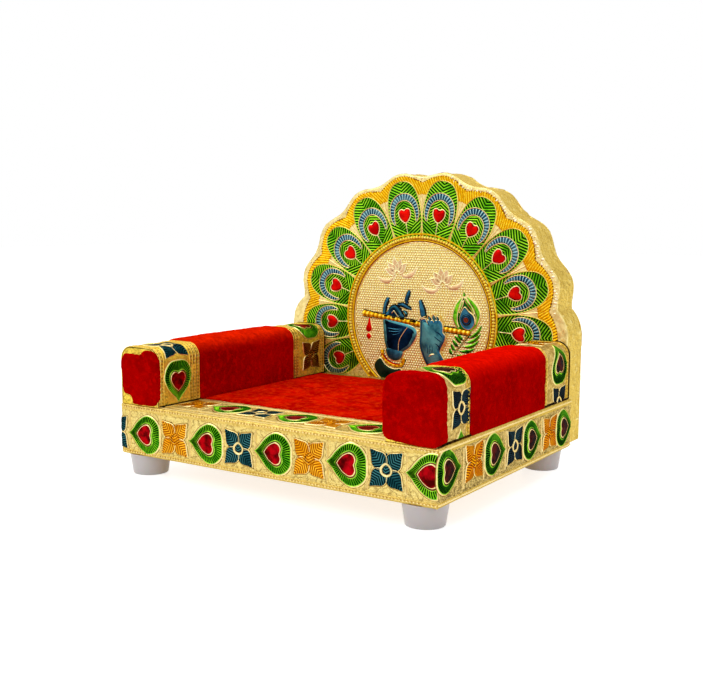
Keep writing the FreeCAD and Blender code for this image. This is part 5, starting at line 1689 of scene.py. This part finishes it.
for side, name in ((-1, "left"), (1, "right")):
    plan = Plan()
    arch = archOutline(1.2)
    rings = insetRings(arch, (0, 14.0), ((0.25, -0.6), (0.05, -0.35), (0.25, -0.08), (0.7, 0.0), (4.0, 0.0),
                                         (9.0, 0.0)))
    # the walls also take the brighter arm foil, painted light
    plan.loft(rings, ["armFoilLeft"] * 7)
    plan.build("armWall" + name.capitalize(), onArmEnd(side), "enamelled_foil")

    # the patch: a skirt round the edges of the arm, a soft rim and a flat face with short pile
    look = patchLook[name]
    patch = Plan()
    shape = dense(smoothLoop(look["outline"], 8), 0.5)
    shape = shape + np.column_stack([softNoise(shape[:, 0], shape[:, 1], 1.3, 95),
                                     softNoise(shape[:, 1], shape[:, 0], 1.3, 96)]) * 0.16
    shape[:, 1] = np.maximum(shape[:, 1], 0.25)
    centre = np.array((0.0, 13.5))
    outward = (shape - centre) / np.linalg.norm(shape - centre, axis=1)[:, None]
    wrapped = np.interp(shape[:, 0], *zip(*look["wrap"]))
    wrapped = wrapped * np.clip(shape[:, 1] / 1.5 - 0.2, 0.1, 1)
    wrapped = np.maximum(wrapped + 0.25 * softNoise(shape[:, 0] * 2, shape[:, 1] * 2, 1.7, 97), 0.05)
    upward = np.clip(shape[:, 1] / 2.0, 0, 1)[:, None]
    rings = [withHeight(shape + outward * 0.05 * upward, -wrapped)]
    for share, push in ((0.97, 0.55), (0.88, 0.9), (0.55, 1.0), (0.25, 1.0), (0.0, 0.95)):
        level = -wrapped * share
        rough = 0.08 * softNoise(shape[:, 0] * 2, shape[:, 1] * 2 + level, 1.9, 98)
        rings.append(withHeight(shape + outward * (push * look["soft"] + rough)[:, None] * upward, level))
    for depth, height in ((-0.75, 0.45), (-0.35, 0.8), (0.2, 1.0), (0.9, 1.08), (1.8, 1.12), (2.9, 1.12),
                          (4.2, 1.12),
                          (5.6, 1.12), (7.0, 1.12), (8.4, 1.12), (9.8, 1.12)):
        if depth < 0:
            spots = shape - outward * depth * look["soft"] * upward
        else:
            spots = insetRing(shape, centre, depth)
        spots[:, 1] = np.maximum(spots[:, 1], 0.25)
        pile = 0.07 * softNoise(spots[:, 0], spots[:, 1], 1.7, 97) + 0.06 * softNoise(spots[:, 0],
                                                                                      spots[:, 1], 4.0, 98)
        rings.append(withHeight(spots, height - 0.05 + pile * (height > 0.9)))
    patch.loft(rings, ["patchVelvet" + name.capitalize()] * 18)
    piece = patch.build("armPatch" + name.capitalize(), onArmEnd(side), "arm_velvet", ["arm_patch_" + name],
                        smooth=80.0)

# Seat: one velvet sheet glued down, its front edge cut by hand

seat = {
    "half": 62.75,
    "front": 32.8,
    "rear": 132.8,
    "thick": 0.95,
}

cloth = Plan()
u = np.linspace(-seat["half"], seat["half"], 190)
v = np.unique(np.concatenate([np.linspace(0, 1, 170), [0.0015, 0.004, 0.008, 0.992, 0.996, 0.9985]]))
u, v = np.meshgrid(u, v)
frontWave = 0.7 * softNoise(u, u * 0, 9.0, 101) + 0.25 * softNoise(u, u * 0 + 3, 2.0, 102)
t = seat["front"] + v * (seat["rear"] - seat["front"]) + frontWave * (1 - np.clip(v * 12, 0, 1))
near = np.minimum(np.minimum(t - seat["front"] - frontWave * (1 - np.clip(v * 12, 0, 1)), seat["rear"] - t),
                  seat["half"] - np.abs(u))
lip = np.sqrt(np.clip(1 - (1 - np.clip(near / 0.8, 0, 1)) ** 2, 0, 1))
pile = 0.05 * softNoise(u, t, 7.0, 103) + 0.04 * softNoise(u, t, 2.0, 104) + 0.03 * softNoise(u, t, 1.0, 105)
cloth.shell(u, t, 0.1 + (seat["thick"] - 0.1 + pile) * lip, "seatVelvet")
seatPiece = cloth.build("seatVelvet", onTop, "seat_velvet", ["seat_velvet"], smooth=80.0)
print("velvet done")

# Feet: hollow-bottomed plastic cones, spun from one profile

foot = {
    "side": 79.2,
    "front": -70.0,
    "rear": 49.8,
    "profile": ((1.65, 5.0), (4.2, 5.0), (4.2, 0.5), (4.6, 0.05), (8.1, 0.0), (8.55, 0.15), (8.76, 0.6),
                (9.25, 4.0),
                (9.8, 7.6), (10.1, 9.6), (10.2, 10.0), (10.05, 10.2), (1.65, 10.2)),
}


def footMesh(name, x, y):
    work = bmesh.new()
    steps = 64
    rings = []
    for radius, z in foot["profile"]:
        rings.append([work.verts.new(((x + radius * math.cos(math.tau * step / steps)) * mm,
                                      (y + radius * math.sin(math.tau * step / steps)) * mm, z * mm))
                      for step in range(steps)])
    rings.append(rings[0])
    for one, two in zip(rings[:-1], rings[1:]):
        for step in range(steps):
            after = (step + 1) % steps
            work.faces.new((one[step], one[after], two[after], two[step]))
    bmesh.ops.recalc_face_normals(work, faces=work.faces[:])
    mesh = bpy.data.meshes.new(name)
    work.to_mesh(mesh)
    work.free()
    mesh.materials.append(finishes["plastic"])
    return mesh


for sideName, sideSign in (("left", -1), ("right", 1)):
    for endName in ("front", "rear"):
        node = "foot_%s_%s" % (endName, sideName)
        title = "foot" + endName.capitalize() + sideName.capitalize()
        settle(footMesh(title, sideSign * foot["side"], foot[endName]), title, [node], 30.0)
print("feet done")

# Finishes of the CAD nodes that stay

for node, finish in {"base_board": "wood", "back_board": "wood", "arm_block_left": "wood",
                     "arm_block_right": "wood",
                     "base_lining": "paper", "foot_screws": "screw", "arm_screws": "screw",
                     "back_screws": "screw"}.items():
    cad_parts[node].data.materials.clear()
    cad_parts[node].data.materials.append(finishes[finish])

# Studio: white floor and backdrop, soft lamps, and the camera of the photograph

studio = {
    "floorSize": 6.0,
    "floorGlow": 0.72,
    "floorColour": (0.62, 0.62, 0.62),
    "worldLevel": 0.55,
    "keyEnergy": 3.2,
    "fillEnergy": 0.8,
    "topEnergy": 3.4,
}

view = {
    "place": (0.284486, -0.433671, 0.127804),
    "azimuth": 33.723,
    "elevation": 7.443,
    "roll": 0.223,
    "focalPixels": 1026.222,
    "frame": (703, 700),
}

cameraData = bpy.data.cameras.new("camera")
camera = bpy.data.objects.new("camera", cameraData)
bpy.context.scene.collection.objects.link(camera)
azimuth, elevation = math.radians(view["azimuth"]), math.radians(view["elevation"])
forward = -Vector((math.sin(azimuth) * math.cos(elevation), -math.cos(azimuth) * math.cos(elevation),
                   math.sin(elevation)))
right = forward.cross(Vector((0, 0, 1))).normalized()
up = right.cross(forward)
roll = math.radians(view["roll"])
right, up = right * math.cos(roll) + up * math.sin(roll), up * math.cos(roll) - right * math.sin(roll)
camera.matrix_world = Matrix.Translation(view["place"]) @ Matrix((right, up, -forward)).transposed().to_4x4()
cameraData.sensor_fit = "HORIZONTAL"
cameraData.sensor_width = 36.0
cameraData.lens = view["focalPixels"] / view["frame"][0] * 36.0
cameraData.clip_start = 0.01
bpy.context.scene.camera = camera

floorFinish = Finish("studioFloor")
floorFinish.set(Base_Color=studio["floorColour"], Roughness=0.35, Specular_IOR_Level=0.25)
rays = floorFinish.tree.nodes.new("ShaderNodeLightPath")
glow = floorFinish.node("ShaderNodeEmission", values={"Color": (1.0, 1.0, 1.0)})
seen = floorFinish.node("ShaderNodeMath", {"operation": "MAXIMUM"},
                        [Wire(floorFinish, rays.outputs["Is Camera Ray"]),
                         Wire(floorFinish, rays.outputs["Is Glossy Ray"])])
floorFinish.plug(glow.socket.node.inputs["Strength"], seen * studio["floorGlow"])
total = floorFinish.tree.nodes.new("ShaderNodeAddShader")
floorFinish.tree.links.new(floorFinish.shader.outputs[0], total.inputs[0])
floorFinish.tree.links.new(glow.socket, total.inputs[1])
output = [item for item in floorFinish.tree.nodes if item.type == "OUTPUT_MATERIAL"][0]
floorFinish.tree.links.new(total.outputs[0], output.inputs["Surface"])
floorMesh = bpy.data.meshes.new("floor")
reach = studio["floorSize"] / 2
floorMesh.from_pydata([(-reach, -reach, 0), (reach, -reach, 0), (reach, reach, 0), (-reach, reach, 0)], [],
                      [(0, 1, 2, 3)])
floorMesh.materials.append(floorFinish.material)
floor = bpy.data.objects.new("floor", floorMesh)
bpy.context.scene.collection.objects.link(floor)

world = bpy.data.worlds.new("studio")
bpy.context.scene.world = world
world.use_nodes = True
tree = world.node_tree
background = tree.nodes["Background"]
path = tree.nodes.new("ShaderNodeLightPath")
most = tree.nodes.new("ShaderNodeMath")
most.operation = "MAXIMUM"
tree.links.new(path.outputs["Is Camera Ray"], most.inputs[0])
tree.links.new(path.outputs["Is Transmission Ray"], most.inputs[1])
again = tree.nodes.new("ShaderNodeMath")
again.operation = "MAXIMUM"
tree.links.new(most.outputs[0], again.inputs[0])
tree.links.new(path.outputs["Is Glossy Ray"], again.inputs[1])
level = tree.nodes.new("ShaderNodeMapRange")
level.inputs["To Min"].default_value = studio["worldLevel"]
level.inputs["To Max"].default_value = 1.0
tree.links.new(again.outputs[0], level.inputs["Value"])
tree.links.new(level.outputs[0], background.inputs["Strength"])
background.inputs["Color"].default_value = (1, 1, 1, 1)


def lamp(name, place, target, energy, size):
    data = bpy.data.lights.new(name, "AREA")
    data.shape = "RECTANGLE"
    data.size, data.size_y = size
    data.energy = energy
    item = bpy.data.objects.new(name, data)
    item.location = place
    item.rotation_euler = (Vector(target) - Vector(place)).to_track_quat("-Z", "Y").to_euler()
    bpy.context.scene.collection.objects.link(item)


lamp("key", (-0.55, -0.75, 0.75), (0, 0, 0.06), studio["keyEnergy"], (0.6, 0.6))
lamp("fill", (0.9, -0.35, 0.45), (0, 0, 0.06), studio["fillEnergy"], (0.6, 0.6))
lamp("top", (0.0, 0.1, 0.95), (0, 0, 0.06), studio["topEnergy"], (0.7, 0.7))
bpy.context.scene.view_settings.view_transform = "Standard"
print("studio ready")
